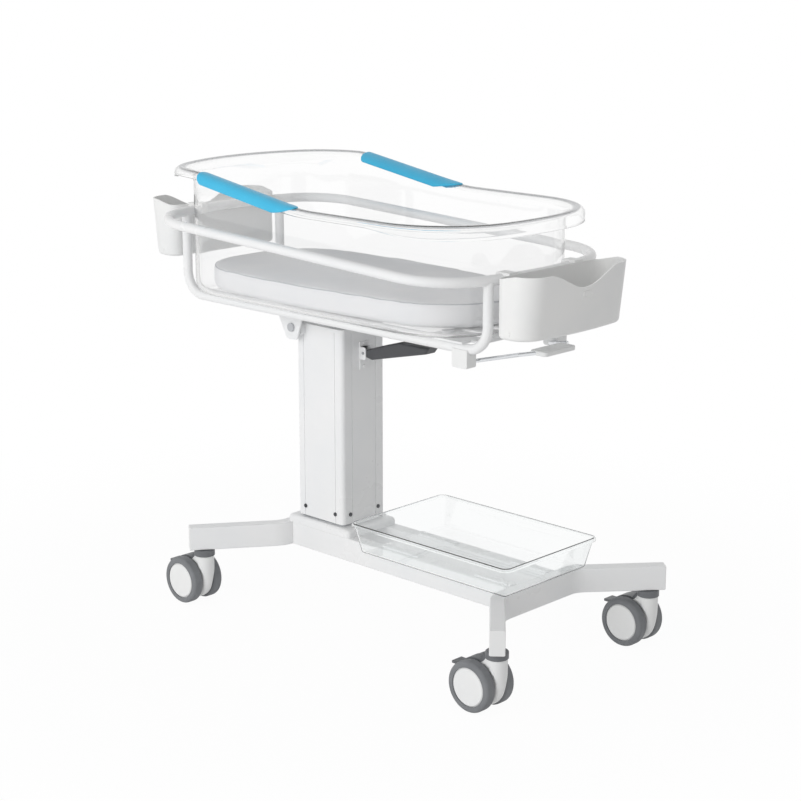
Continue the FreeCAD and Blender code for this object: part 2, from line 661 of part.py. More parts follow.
def make_column():
    # fixed mast with its foot flange
    mast = column_tube(mast_l, mast_w, mast_wall, plate_top, mast_top, 5)
    flange = column_tube(mast_l + 14, mast_w + 14, 12, plate_top, plate_top + mast_flange_t, 7)
    nodes["mast"] = mast.fuse(flange).removeSplitter()
    nodes["upper_glides"] = glides(mast_l / 2, mast_w / 2, mast_gap - gap, mast_top - glide_h - 4)

    # sliding outer column, an extrusion with a groove beside each corner
    outer = column_tube(column_l, column_w, column_wall, column_bottom, column_top, column_r)
    for side in (-1, 1):
        for shift in (-1, 1):
            x = column_x + shift * (column_l / 2 - groove_in_x)
            face_y = side * column_w / 2
            outer = outer.cut(box(x - groove_w / 2, x + groove_w / 2, face_y - groove_d,
                                  face_y + groove_d, column_bottom - 1, column_top + 1))
            y = shift * (column_w / 2 - groove_in_y)
            face_x = column_x + side * column_l / 2
            outer = outer.cut(box(face_x - groove_d, face_x + groove_d, y - groove_w / 2,
                                  y + groove_w / 2, column_bottom - 1, column_top + 1))
    slot_z = lever_pivot[1]
    outer = outer.cut(box(column_face - 2 * column_wall, column_face + 1, -lever_arm_w / 2 - 2,
                          lever_arm_w / 2 + 2, slot_z - 12, slot_z + 12))
    screws = column_screws()
    lower = glides(mast_l / 2 + gap, mast_w / 2 + gap, mast_gap - gap, plate_top + mast_flange_t + gap)
    outer = outer.cut(screws)
    lower = lower.cut(screws)
    nodes["outer_column"] = outer
    nodes["column_screws"] = Part.makeCompound(screws)
    nodes["lower_glides"] = lower

    # lift spring: cylinder on the base, rod under the column head
    spring_x = column_x
    bottom = plate_top
    cyl = rod(spring_d, (spring_x, 0, bottom), UP, spring_top - bottom)
    bore = spring_d - 2 * spring_wall
    cyl = cyl.cut(rod(bore, (spring_x, 0, bottom + 10), UP, spring_top - bottom - 20))
    cyl = cyl.cut(rod(spring_rod_d + 2 * running, (spring_x, 0, spring_top - 20), UP, 30))
    nodes["lift_spring_cylinder"] = cyl
    piston_z = spring_top - 10 - lift_travel - 12
    pin_top = lever_pivot[1] - lever_arm_t / 2 - gap
    rod_top = pin_top - release_pin_up
    shaft = rod(spring_rod_d, (spring_x, 0, piston_z), UP, rod_top - piston_z)
    piston = rod(bore - 2 * running, (spring_x, 0, piston_z), UP, 10)
    shaft = shaft.fuse(piston)
    pin_low = rod_top - release_pin_up
    shaft = shaft.cut(rod(release_pin_d + 2 * running, (spring_x, 0, pin_low - release_pin_up), UP, 50))
    nodes["lift_spring_rod"] = shaft
    nodes["lift_release_pin"] = rod(release_pin_d, (spring_x, 0, pin_low), UP, pin_top - pin_low)

    # column head: plate, cheeks for the tilt pivot, lug for the tilt spring, bridge for the rod
    x0 = column_x - column_l / 2
    x1 = column_face
    plate = extrude(rounded_rect(x0, x1, column_w / 2, column_r, column_r, column_top),
                    V(0, 0, head_plate_t))
    cheek = box(pivot_x - cheek_half, pivot_x + cheek_half, cheek_y, cheek_y + cheek_t,
                pivot_z - 18, head_top + 4)
    cheek = fillet_where(cheek, 8.0, lambda e: e.BoundBox.YLength > cheek_t - 1 and e.BoundBox.ZLength < 1)
    web = box(pivot_x - cheek_half + 2, pivot_x + cheek_half - 2, column_w / 2 - 12, cheek_y + 2,
              column_top, head_top)
    side = cheek.fuse(web)
    lug = box(pivot_x - 9, pivot_x + 9, tilt_spring_y - 4, tilt_spring_y + 4, head_top - 2, tilt_spring_z + 9)
    lug = fillet_where(lug, 8.0, lambda e: e.BoundBox.ZMin > tilt_spring_z + 8.9 and e.BoundBox.YLength > 7)
    bridge = box(spring_x - 22, spring_x + 22, -9, 9, rod_top - 14, rod_top - 6)
    leg = box(spring_x - 22, spring_x - 16, -9, 9, rod_top - 14, column_top + 1)
    head = plate.fuse([side, mirror_y(side), lug, bridge, leg])
    head = head.cut(rod(pivot_d, (pivot_x, -200, pivot_z), ACROSS, 400))
    head = head.cut(rod(spring_rod_d, (spring_x, 0, rod_top - 30), UP, 30))
    head = head.removeSplitter()
    eye_pin = rod(6, (pivot_x, tilt_spring_y - 15, tilt_spring_z), ACROSS, 19)
    washer = rod(12, (pivot_x, tilt_spring_y - 17, tilt_spring_z), ACROSS, 3)
    nodes["column_head"] = head.fuse([eye_pin, washer]).removeSplitter()
    pin_out = ear_y + ear_t / 2 + gap
    shank = rod(pivot_d, (pivot_x, cheek_y, pivot_z), ACROSS, pin_out - cheek_y)
    bolt_head = rod(pivot_head_d, (pivot_x, pin_out, pivot_z), ACROSS, 4)
    nodes["tilt_pins"] = both_sides(shank.fuse(bolt_head))


def make_height_lever():
    px, pz = lever_pivot
    z0, z1 = pz + lever_bracket_z[0], pz + lever_bracket_z[1]
    half = lever_bracket_w / 2
    back = box(column_face, column_face + lever_bracket_t, -half, half, z0, z1)
    back = back.cut(box(column_face - 1, column_face + 10, -lever_arm_w / 2 - 2, lever_arm_w / 2 + 2,
                        pz - 12, pz + 12))
    ear = box(column_face, px + 7, half - lever_bracket_t, half, pz - 14, pz + 12)
    ear = fillet_where(ear, 6.0, lambda e: e.BoundBox.XMin > px + 6.9 and e.BoundBox.YLength > 2)
    bracket = back.fuse([ear, mirror_y(ear)])
    bracket = bracket.cut(rod(lever_pin_d, (px, -half - 1, pz), ACROSS, 2 * half + 2))
    for z in (z0 + 6, z1 - 5):
        bracket = bracket.fuse(rod(7, (column_face + lever_bracket_t, 0, z), ALONG, 1.8))
    nodes["lever_bracket"] = bracket.removeSplitter()
    nodes["lever_pin"] = rod(lever_pin_d, (px, -half - 1.5, pz), ACROSS, 2 * half + 3)

    # steel arm: level inside the column, rising outside
    t = lever_arm_t / 2
    tip_x, tip_z = px + lever_tip[0], pz + lever_tip[1]
    inner_x = column_x - lever_past_pin
    points = [(inner_x, pz - t), (px + 10, pz - t), (tip_x, tip_z - t),
              (tip_x, tip_z + t), (px + 8, pz + t), (inner_x, pz + t)]
    arm = side_profile(points, lever_arm_w / 2)
    boss = rod(13, (px, -lever_arm_w / 2, pz), ACROSS, lever_arm_w)
    arm = arm.fuse(boss).cut(rod(lever_pin_d + 2 * running, (px, -50, pz), ACROSS, 100))
    nodes["lever_arm"] = arm.removeSplitter()
    grip = side_profile([(px + grip_from + x, pz + z) for x, z in grip_profile], grip_half_w)
    grip = grip.makeFillet(5.0, edges_where(grip, lambda e: e.BoundBox.YLength < 1))
    nodes["lever_grip"] = grip.cut(arm)


# ---------------------------------------------------------------- tilting frame

def rail_height(x):
    return rail_z + rail_slope * x


def rail_path(drop=0.0):
    """Centreline of the guard rail: the flat outline laid on the rail's own sloping plane."""
    flat = oval_wire(rail_head, rail_foot, rail_half_w,
                     (rail_head + rail_end_reach(), rail_corner_y),
                     (rail_foot - rail_end_reach(), rail_corner_y))
    flat.rotate(V(0, 0, 0), ACROSS, -math.degrees(math.atan(rail_slope)))
    flat.translate(V(0, 0, rail_z - drop))
    return flat


def rail_end_reach():
    """From the end of the rail back to its corner centres: corner radius and end bow."""
    return rail_corner_r + 16.0


def rail_normal():
    return V(-rail_slope, 0, 1).normalize()


def rail_start():
    """A point on the rail's near side and the rail's heading there."""
    path = rail_path()
    first = path.Edges[0]
    point = first.valueAt(first.FirstParameter)
    heading = first.tangentAt(first.FirstParameter)
    return point, heading


def rail_x_at(y, foot):
    """X of the rail's centreline on an end, at a distance y from the middle."""
    end = rail_foot if foot else rail_head
    probe = Part.makePlane(2000, 2000, V(-1000, y, -200), ACROSS)
    path = rail_path()
    points = []
    for edge in path.Edges:
        _, pairs, _ = edge.distToShape(probe)
        if edge.distToShape(probe)[0] < 1e-4:
            points += [pair[0] for pair in pairs]
    return min(points, key=lambda p: abs(p.x - end)).x


def make_rail():
    point, heading = rail_start()
    rail = round_tube(rail_path(), rail_d, rail_wall, point, heading, rail_normal())
    nodes["guard_rail"] = rail
    return rail


def make_cradle(rail_solid):
    x_head = rail_x_at(cradle_y, False)
    x_foot = rail_x_at(cradle_y, True)
    points = [(x_head, -cradle_y, rail_height(x_head)), (x_head, -cradle_y, cradle_z),
              (x_foot, -cradle_y, cradle_z), (x_foot, -cradle_y, rail_height(x_foot))]
    path = bent_path(points, [cradle_bend, cradle_bend])
    tube = round_tube(path, rail_d, rail_wall, points[0], UP, ACROSS)
    tube = tube.cut(rail_solid)
    tube = max(tube.Solids, key=lambda s: s.Volume)
    nodes["near_cradle_tube"] = tube
    nodes["far_cradle_tube"] = mirror_y(tube)


def frame_plate(x0, x1):
    half = cradle_y + plate_over
    plate = extrude(rounded_rect(x0, x1, half, frame_plate_r, frame_plate_r, cradle_top),
                    V(0, 0, frame_plate_t))
    return plate


def make_frame_plates():
    x0, x1 = saddle_x
    saddle = frame_plate(x0, x1)
    to_head, to_foot, half = saddle_window
    window = rounded_rect(pivot_x - to_head, pivot_x + to_foot, half, 6, 6, cradle_top - 1)
    saddle = saddle.cut(extrude(window, V(0, 0, frame_plate_t + 2)))
    top = cradle_top + 1
    low = pivot_z - ear_low
    ear_points = [(x0 + 8, top), (pivot_x - 15, low), (pivot_x + 15, low), (x1 - 8, top)]
    wire = polygon_wire([(x, ear_y - ear_t / 2, z) for x, z in ear_points])
    ear = extrude(wire, V(0, ear_t, 0))
    ear = fillet_where(ear, 10.0, lambda e: e.BoundBox.ZMax < low + 0.1 and e.BoundBox.YLength > 1)
    ear = ear.cut(rod(pivot_d + 2 * running, (pivot_x, ear_y - 10, pivot_z), ACROSS, 20))
    saddle = saddle.fuse([ear, mirror_y(ear)])
    nodes["tilt_saddle"] = saddle.removeSplitter()

    x0, x1 = foot_plate_x
    plate = frame_plate(x0, x1)
    for y in (-78, -26, 26, 78):
        slot = extrude(rounded_rect(x0 + 22, x1 - 22, 9, 8.9, 8.9, cradle_top - 1),
                       V(0, 0, frame_plate_t + 2))
        slot.translate(V(0, y, 0))
        plate = plate.cut(slot)
    for side in (-1, 1):
        y0, y1 = sorted((side * (cradle_y - foot_notch), side * (cradle_y + plate_over + 1)))
        plate = plate.cut(box(x1 - foot_notch * 2, x1 + 1, y0, y1, cradle_top - 1, cradle_top + 10))
    hanger = box(x0 + tilt_hanger[0], x0 + tilt_hanger[1], tilt_spring_y - 12, tilt_spring_y + 12,
                 tilt_spring_z - 12, cradle_top + 1)
    plate = plate.fuse(hanger)
    nodes["foot_plate"] = plate.removeSplitter()

    pads = []
    plate_top_z = cradle_top + frame_plate_t
    for x in (saddle_x[0] + pad_in, foot_plate_x[0] + pad_in):
        for y in (-cradle_y + pad_in, cradle_y - pad_in):
            pads.append(rod(pad_d, (x, y, plate_top_z), UP, pad_h))
    nodes["rest_pads"] = Part.makeCompound(pads)


def make_tilt_spring():
    x0, x1 = tilt_spring_x
    z = tilt_spring_z
    y = tilt_spring_y
    cyl = rod(tilt_spring_d, (x0, y, z), ALONG, x1 - x0)
    bore = tilt_spring_d - 4
    cyl = cyl.cut(rod(bore, (x0 + 14, y, z), ALONG, x1 - x0 - 28))
    cyl = cyl.cut(rod(tilt_rod_d + 2 * running, (x0 - 1, y, z), ALONG, 40))
    stub = rod(8, (x1 - 1, y, z), ALONG, 2)
    nodes["tilt_spring_cylinder"] = cyl.fuse(stub)
    eye_y = tilt_spring_y - 9
    ring = rod(tilt_eye_d, (pivot_x, eye_y - 4, z), ACROSS, 8)
    shaft = rod(tilt_rod_d, (pivot_x + 16, y, z), ALONG, x0 + 60 - pivot_x - 16)
    joggle = box(pivot_x + 5, pivot_x + 20, eye_y - 4, y + tilt_rod_d / 2, z - 4, z + 4)
    piston = rod(bore - 2 * running, (x0 + 52, y, z), ALONG, 8)
    stem = ring.fuse([shaft, joggle, piston])
    stem = stem.cut(rod(6 + 2 * tilt_eye_air, (pivot_x, eye_y - 10, z), ACROSS, 15))
    stem = stem.cut(box(pivot_x - 12, pivot_x + 10 + tilt_eye_air, tilt_spring_y - 4 - 0.8,
                        tilt_spring_y + 12, z - 12, z + 12))
    nodes["tilt_spring_rod"] = stem.removeSplitter()


def make_release():
    x0 = block_x - block_l / 2
    y0 = cradle_y - block_w / 2
    block_low = cradle_z - block_below
    block = box(x0, x0 + block_l, y0, y0 + block_w, block_low, cradle_z)
    block = fillet_where(block, 5.0, lambda e: e.BoundBox.ZMax < block_low + 0.1 and e.BoundBox.YLength > 1)
    block = block.cut(rod(rail_d, (x0 - 1, cradle_y, cradle_z), ALONG, block_l + 2))
    bx, bz = bail_pivot
    block = block.cut(rod(bail_d + 2 * running, (bx, y0 - 1, bz), ACROSS, 16))
    nodes["release_blocks"] = both_sides(block)

    route = [(bx, y0 + 12, bz), (bx, bail_turn_y, bz)]
    route += [(block_x + x, y, cradle_z + z) for x, y, z in bail_route]
    pts = [V(*p) for p in route]
    pieces = []
    for a, b in zip(pts[:-1], pts[1:]):
        pieces.append(Part.makeCylinder(bail_d / 2, (b - a).Length, a, b - a))
    for p in pts[1:-1]:
        pieces.append(Part.makeSphere(bail_d / 2, p))
    half = pieces[0].fuse(pieces[1:])
    end = route[-1]
    link = Part.makeCylinder(bail_d / 2, 2 * end[1], V(end[0], -end[1], end[2]), ACROSS)
    knees = [Part.makeSphere(bail_d / 2, V(end[0], s * end[1], end[2])) for s in (-1, 1)]
    bail = half.fuse([mirror_y(half), link] + knees).removeSplitter()
    depth, width, thick = paddle
    px = end[0] + 4
    pz = end[2]
    plate = box(px - depth / 2, px + depth / 2, -width / 2, width / 2, pz - thick / 2 - 1, pz + thick / 2 + 1)
    plate = fillet_where(plate, 8.0, lambda e: e.BoundBox.ZLength > thick)
    plate = fillet_where(plate, 2.0, lambda e: e.BoundBox.ZLength < 0.01)
    nodes["release_bail"] = bail
    nodes["release_paddle"] = plate.cut(bail)


# ---------------------------------------------------------------- tub and mattress

def rim_profile(drop_head, drop_side, x_from, x_to, z_low):
    """XZ outline under the rim's top line, lowered by a drop that tapers at the ends."""
    run0, run1 = rim_slope_x
    slope = (rim_top_foot - rim_top_head) / (run1 - run0)

    def top(x):
        if x <= run0:
            return rim_top_head
        if x >= run1:
            return rim_top_foot
        return rim_top_head + slope * (x - run0)

    if drop_head == drop_side:
        knots = [x_from, run0, run1, x_to]
        drops = [drop_head] * 4
    else:
        a, b = rim_head + lip_taper[0], rim_head + lip_taper[1]
        c, d = rim_foot - lip_taper[2], rim_foot - lip_taper[3]
        knots = [x_from, a, b, run0, run1, c, d, x_to]
        drops = [drop_head, drop_head, drop_side, drop_side, drop_side, drop_side, drop_head, drop_head]
    upper = [(x, 0, top(x) - drop) for x, drop in zip(knots, drops)]
    path = bent_path(upper, [rim_ease] * (len(upper) - 2))
    sides = [line(upper[-1], (x_to, 0, z_low)), line((x_to, 0, z_low), (x_from, 0, z_low)),
             line((x_from, 0, z_low), upper[0])]
    return Part.Wire(path.Edges + sides)


def under_rim(drop_end, drop_side):
    wire = rim_profile(drop_end, drop_side, rim_head - 60, rim_foot + 60, tub_bottom - 100)
    solid = extrude(wire, V(0, 2 * rim_half_w + 100, 0))
    solid.translate(V(0, -rim_half_w - 50, 0))
    return solid


def tub_outline(inset, z):
    half = rim_half_w - inset
    return oval_wire(rim_head + inset, rim_foot - inset, half, rim_head_corner, rim_foot_corner, z)


def rim_slab(inset, drop, shoulder, z_low):
    """Everything under the rim's top inside an outline, with the top's outer edge rounded."""
    block = extrude(tub_outline(inset, z_low), V(0, 0, high - z_low))
    block = block.common(under_rim(drop, drop))
    top_edges = edges_where(block, lambda e: on_top_edge(e, block))
    return block.makeFillet(shoulder, top_edges)


def on_top_edge(edge, block):
    """True for an edge between the block's top faces and its upright sides."""
    faces = block.ancestorsOfType(edge, Part.Face)
    ups = sorted(abs(f.normalAt(*middle_uv(f)).z) for f in faces)
    on_top = edge.BoundBox.ZMin > tub_bottom + tub_depth / 2
    return on_top and len(ups) == 2 and ups[0] < 0.2 and ups[1] > 0.9


def middle_uv(face):
    u0, u1, v0, v1 = face.ParameterRange
    return ((u0 + u1) / 2, (v0 + v1) / 2)


def make_tub():
    z_low = tub_bottom + 33
    outer = rim_slab(0, 0, rim_shoulder, z_low)
    hollow = rim_slab(tub_wall, tub_wall, rim_shoulder - tub_wall, z_low)
    lip = outer.cut(hollow).cut(under_rim(lip_end, lip_side))
    flange = outer.cut(under_rim(tub_wall, tub_wall))
    rim = lip.fuse(flange)

    body = extrude(tub_outline(rim_over, tub_bottom), V(0, 0, high - tub_bottom))
    body = body.makeFillet(tub_floor_r, edges_where(body, lambda e: e.BoundBox.ZMax < tub_bottom + 1))
    body = body.common(under_rim(0, 0))
    cavity = extrude(tub_outline(rim_over + tub_wall, floor_z), V(0, 0, high - floor_z))
    inner_r = tub_floor_r - tub_wall
    cavity = cavity.makeFillet(inner_r, edges_where(cavity, lambda e: e.BoundBox.ZMax < floor_z + 1))
    tub = rim.fuse(body).cut(cavity).removeSplitter()
    nodes["tub"] = tub

    # grips clipped over the sloping part of the rim
    x0, x1 = rim_slope_x
    over = rim_slab(-grip_past, -grip_thick, rim_shoulder + grip_thick, z_low)
    shell = over.cut(under_rim(grip_low, grip_low))
    side = rim_half_w
    shell = shell.common(grip_block(-side - 20, -side + grip_in))
    keep = shell.cut(outer)
    under = box(x0 - 10, x1 + 10, -side + tub_wall + 0.2, 0, z_low, high)
    under = under.common(under_rim(tub_wall, tub_wall))
    grip = keep.cut(under)
    grip = max(grip.Solids, key=lambda s: s.Volume)
    nodes["near_grip"] = grip
    nodes["far_grip"] = mirror_y(grip)


def grip_block(y0, y1):
    """Block whose side outline is the grip's: blunt and rounded at the head, tapered at the foot."""
    x0, x1 = rim_slope_x
    top = rim_top_head + 20
    slope = (rim_top_foot - rim_top_head) / (x1 - x0)
    low_head = rim_top_head - grip_low - 8
    corners = [(x0, 0, top), (x0, 0, low_head), (x1 - grip_taper, 0, low_head + slope * (x1 - x0)),
               (x1 + 4, 0, rim_top_foot - 1), (x1 + 4, 0, top)]
    path = bent_path(corners, [grip_head_r, 60, 2])
    wire = Part.Wire(path.Edges + [line(corners[-1], corners[0])])
    block = extrude(wire, V(0, y1 - y0, 0))
    block.translate(V(0, y0, 0))
    return block


def mattress_outline(z):
    """Oval outline: each side is one long arc between the rounder head and foot corners."""
    inner = rim_over + tub_wall
    x0 = rim_head + inner + mattress_air
    x1 = rim_foot - inner - mattress_short
    turn0, turn1 = mattress_corner_half
    wide_x = x0 + mattress_wide_at
    peak = rim_half_w - inner - mattress_air + mattress_side_out
    half_turn = (math.atan((peak - turn0) / (wide_x - x0)) + math.atan((peak - turn1) / (x1 - wide_x))) / 2
    side_r = mattress_side_out / (1 / math.cos(half_turn) - 1)
    corners = [(x0, 0), (x0, -turn0), (wide_x, -peak), (x1, -turn1), (x1, turn1), (wide_x, peak),
               (x0, turn0), (x0, 0)]
    r0, r1 = mattress_corner_r
    return bent_path([(x, y, z) for x, y in corners], [r0, side_r, r1, r1, side_r, r0])


def make_mattress():
    z0 = floor_z + gap
    pad = extrude(mattress_outline(z0), V(0, 0, mattress_t))
    low = tub_floor_r - tub_wall + 1
    pad = pad.makeFillet(low, edges_where(pad, lambda e: e.BoundBox.ZMax < z0 + 1))
    top = z0 + mattress_t
    pad = pad.makeFillet(mattress_round, edges_where(pad, lambda e: e.BoundBox.ZMin > top - 1))
    nodes["mattress"] = pad


# ---------------------------------------------------------------- bins and tray

def bin_front_arc():
    """The arc across a bin's front: its half turn, its radius and how far it stands out."""
    turn = math.atan(2 * bin_bow / bin_half_w)
    corner_reach = bin_front_r * math.tan((math.pi / 2 - turn) / 2)
    reach = bin_half_w / math.cos(turn) - corner_reach - 1
    radius = reach / math.tan(turn)
    return turn, radius, 2 * bin_bow - radius * (1 / math.cos(turn) - 1)


def bin_outline(depth, inset, z):
    """Plan of a bin: straight back at X = 0, rounded corners, front bowed outwards."""
    half = bin_half_w - inset
    x0, x1 = inset, depth - inset
    turn, bow_r, _ = bin_front_arc()
    corners = [(x0, 0), (x0, half), (x1, half), (x1 + half * math.tan(turn), 0), (x1, -half),
               (x0, -half), (x0, 0)]
    corner_radii = [bin_back_r - inset, bin_front_r - inset]
    radii = corner_radii + [bow_r - inset] + corner_radii[::-1]
    return bent_path([(x, y, z) for x, y in corners], radii)


def bin_block(inset, bottom, top):
    """Solid of the bin's outside, or of its inside with the wall as inset."""
    block = Part.makeLoft([bin_outline(bin_depth - bin_draft, inset, bottom + inset),
                           bin_outline(bin_depth, inset, top)], True)
    return fillet_where(block, bin_foot_r - inset, lambda e: e.BoundBox.ZMax < bottom + inset + 0.5)


def make_bin(name, foot):
    """Bin built for the foot end at X = 0, then placed on its own end of the rail."""
    end_x = rail_foot if foot else rail_head
    bottom = rail_height(end_x) - bin_drop
    top = bottom + bin_h
    tub = bin_block(0, bottom, top).cut(bin_block(bin_wall, bottom, top))

    # front edge: a smooth dip across the middle, cut from just above the edge
    steps = 12
    over = 2.0
    reach = bin_wave_half + 6
    wave = []
    for i in range(steps + 1):
        y = -reach + 2 * reach * i / steps
        z = top + over - (bin_wave + over) * (1 + math.cos(math.pi * y / reach)) / 2
        wave.append(V(bin_depth / 2, y, z))
    curve = Part.BSplineCurve()
    curve.interpolate(wave)
    lid = [V(bin_depth / 2, reach, top + 20), V(bin_depth / 2, -reach, top + 20)]
    edges = [curve.toShape(), Part.LineSegment(wave[-1], lid[0]).toShape(),
             Part.LineSegment(lid[0], lid[1]).toShape(), Part.LineSegment(lid[1], wave[0]).toShape()]
    tub = tub.cut(extrude(Part.Wire(edges), V(bin_depth, 0, 0)))

    # the back is lower than the front corners
    back_top = bottom + bin_back_h
    wedge = [(-1, back_top), (bin_depth * 0.12, back_top), (bin_depth * 0.62, top + 1),
             (bin_depth * 0.62, top + 5), (-1, top + 5)]
    tub = tub.cut(side_profile(wedge, bin_half_w + 5))

    # drain stud low on each short side
    for side in (-1, 1):
        stud = rod(stud_d, (bin_depth * 0.42, side * (bin_half_w - 1), bottom + 13), ACROSS * side, 2)
        tub = tub.fuse(stud)

    if not foot:
        tub.rotate(V(0, 0, 0), UP, 180)
    tub.translate(V(bin_foot_x if foot else bin_head_x, 0, 0))

    # hooks over the guard rail
    sign = 1 if foot else -1
    back_x = bin_foot_x if foot else bin_head_x
    slot = rail_slot()
    for y in (-hook_y, hook_y):
        rx = rail_x_at(y, foot)
        rz = rail_height(rx)
        reach = rx - sign * (rail_d / 2 + hook_t)
        x0 = min(reach, back_x + sign)
        x1 = max(reach, back_x + sign)
        hook = box(x0, x1, y - hook_w / 2, y + hook_w / 2, rz - hook_low, rz + rail_d / 2 + hook_t)
        hook = fillet_where(hook, 4.0, lambda e, r=reach: runs_across_at(e, r))
        tub = tub.fuse(hook.cut(slot))
    nodes[name] = tub.removeSplitter()
    if foot:
        thick, width, height = label_size
        across, up = label_at
        z = bottom + up
        lean = bin_draft / bin_h
        x = bin_foot_x + bin_depth - bin_draft + bin_front_arc()[2] + lean * up
        label = box(x - 3, x + thick, across - width / 2, across + width / 2, z - height / 2, z + height / 2)
        label = fillet_where(label, 3.0, lambda e: e.BoundBox.XLength > 1 and e.BoundBox.YLength < 0.1)
        label = label.cut(box(x + thick - 0.5, x + thick + 1, across - width / 2 + 2, across + width / 2 - 2,
                              z - height / 2 + 2, z + height / 2 - 2))
        label.rotate(V(x, across, z), ACROSS, math.degrees(math.atan(lean)))
        nodes["label_holder"] = label.cut(bin_block(0, bottom, top).translated(V(bin_foot_x, 0, 0)))


def runs_across_at(edge, x):
    """True for an edge along Y that lies at x."""
    bb = edge.BoundBox
    return bb.XLength < 0.1 and abs(bb.XMin - x) < 0.1 and bb.YLength > 1


def rail_slot():
    """The rail with clearance, opened downwards, for the bins to hook over."""
    point, heading = rail_start()
    r = rail_d / 2 + gap
    normal = rail_normal()
    side = normal.cross(heading)
    low = normal * -40
    section = Part.Wire([
        Part.Arc(point + side * r, point + normal * r, point - side * r).toShape(),
        Part.LineSegment(point - side * r, point - side * r + low).toShape(),
        Part.LineSegment(point - side * r + low, point + side * r + low).toShape(),
        Part.LineSegment(point + side * r + low, point + side * r).toShape(),
    ])
    return sweep(rail_path(), section, normal)


def tray_block(inset, z0, z1):
    """Solid of the tray's outside, or of its inside with the wall as inset."""
    (rx0, rx1), half = tray_rim_x, tray_rim_half
    top_in = tray_lip + inset
    low_in = tray_lip + tray_flare + inset
    r = tray_r - inset
    block = Part.makeLoft([rounded_rect(rx0 + low_in, rx1 - low_in, half - low_in, r, r, z0 + inset),
                           rounded_rect(rx0 + top_in, rx1 - top_in, half - top_in, r, r, z1)], True)
    return fillet_where(block, tray_foot_r - inset, lambda e: e.BoundBox.ZMax < z0 + inset + 0.5)


def make_tray():
    z0 = tray_z + gap
    z1 = z0 + tray_h
    w = tray_wall
    rx0, rx1 = tray_rim_x
    r = tray_r + tray_lip
    rim = extrude(rounded_rect(rx0, rx1, tray_rim_half, r, r, z1 - w), V(0, 0, w))
    nodes["tray"] = tray_block(0, z0, z1).fuse(rim).cut(tray_block(w, z0, z1 + 0.01)).removeSplitter()


# ---------------------------------------------------------------- build and write

def main():
    make_base()
    make_casters()
    make_column()
    make_height_lever()
    make_cradle(make_rail())
    make_frame_plates()
    make_tilt_spring()
    make_release()
    make_tub()
    make_mattress()
    make_bin("head_bin", False)
    make_bin("foot_bin", True)
    make_tray()

    # the head bin and the foot arms reach furthest: centre the length between them
    reach = Part.makeCompound([nodes["head_bin"], nodes["arm_end_caps"]]).optimalBoundingBox()
    middle_x = round((reach.XMin + reach.XMax) / 2, 1)
    print("middle", middle_x)

    os.makedirs("parts", exist_ok=True)
    for name, shape in nodes.items():
        placed = shape.translated(V(-middle_x, 0, 0))
        placed.exportStep("parts/" + name + ".step")
        print(name, len(placed.Solids), "solids, valid", placed.isValid())


main()
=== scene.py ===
# %% [markdown]
# # Dressing a hospital bassinet
# The construction of the bassinet is already settled: its tubes, plates, casters and tub come in
# as a fixed frame of separate pieces, in metres, with the floor at Z = 0 and the foot end at +X.
# This lesson gives every surface its finish, models the soft and moulded pieces that a drawing
# leaves plain, and sets up a small studio to look at the result.

# %% Load the frame
import math

import bmesh
import bpy
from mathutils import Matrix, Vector


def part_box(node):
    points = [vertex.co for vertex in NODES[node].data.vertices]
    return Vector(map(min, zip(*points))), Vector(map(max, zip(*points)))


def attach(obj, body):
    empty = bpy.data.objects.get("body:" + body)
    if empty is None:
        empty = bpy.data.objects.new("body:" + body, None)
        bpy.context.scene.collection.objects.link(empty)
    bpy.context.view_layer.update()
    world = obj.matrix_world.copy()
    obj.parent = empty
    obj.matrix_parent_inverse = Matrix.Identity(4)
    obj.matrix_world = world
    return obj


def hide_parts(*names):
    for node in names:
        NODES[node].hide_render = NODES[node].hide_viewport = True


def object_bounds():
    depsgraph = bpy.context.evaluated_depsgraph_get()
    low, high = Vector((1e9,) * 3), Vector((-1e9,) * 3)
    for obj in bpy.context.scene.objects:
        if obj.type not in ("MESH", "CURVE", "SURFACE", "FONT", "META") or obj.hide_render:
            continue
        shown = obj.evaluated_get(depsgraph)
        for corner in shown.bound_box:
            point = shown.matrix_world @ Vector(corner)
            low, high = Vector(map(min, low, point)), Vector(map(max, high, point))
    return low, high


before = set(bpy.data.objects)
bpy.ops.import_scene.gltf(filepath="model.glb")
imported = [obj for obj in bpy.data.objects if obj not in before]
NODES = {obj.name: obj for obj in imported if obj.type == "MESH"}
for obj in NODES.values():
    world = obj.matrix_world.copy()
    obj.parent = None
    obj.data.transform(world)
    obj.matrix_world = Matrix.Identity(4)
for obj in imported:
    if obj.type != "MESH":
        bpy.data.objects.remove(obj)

frame_low, frame_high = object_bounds()
print("frame", len(NODES), "nodes, size", [round(v, 3) for v in frame_high - frame_low])

# %% [markdown]
# Every edit below works on what is selected, and loading leaves all the pieces selected. These
# helpers start from a clean selection, apply a modifier as soon as it is added, and bake a
# finished object's place into its mesh, so that patterns keep to the surface they belong to.

# %% Selection and finishing helpers
DOUBLES_WITHIN = 0.00001


def make_active(obj):
    """Deselects everything, then selects one object to work on."""
    for other in bpy.context.selected_objects:
        other.select_set(False)
    obj.select_set(True)
    bpy.context.view_layer.objects.active = obj


def apply_modifier(obj, kind, **settings):
    make_active(obj)
    modifier = obj.modifiers.new(kind.lower(), kind)
    for name, value in settings.items():
        setattr(modifier, name, value)
    bpy.ops.object.modifier_apply(modifier=modifier.name)


def settle(obj, name, angle):
    """Puts the object's place into its mesh, names it and shades it smooth between sharp edges."""
    make_active(obj)
    bpy.ops.object.transform_apply(location=True, rotation=True, scale=True)
    bpy.ops.object.shade_smooth_by_angle(angle=math.radians(angle))
    obj.name = name
    obj.data.name = name


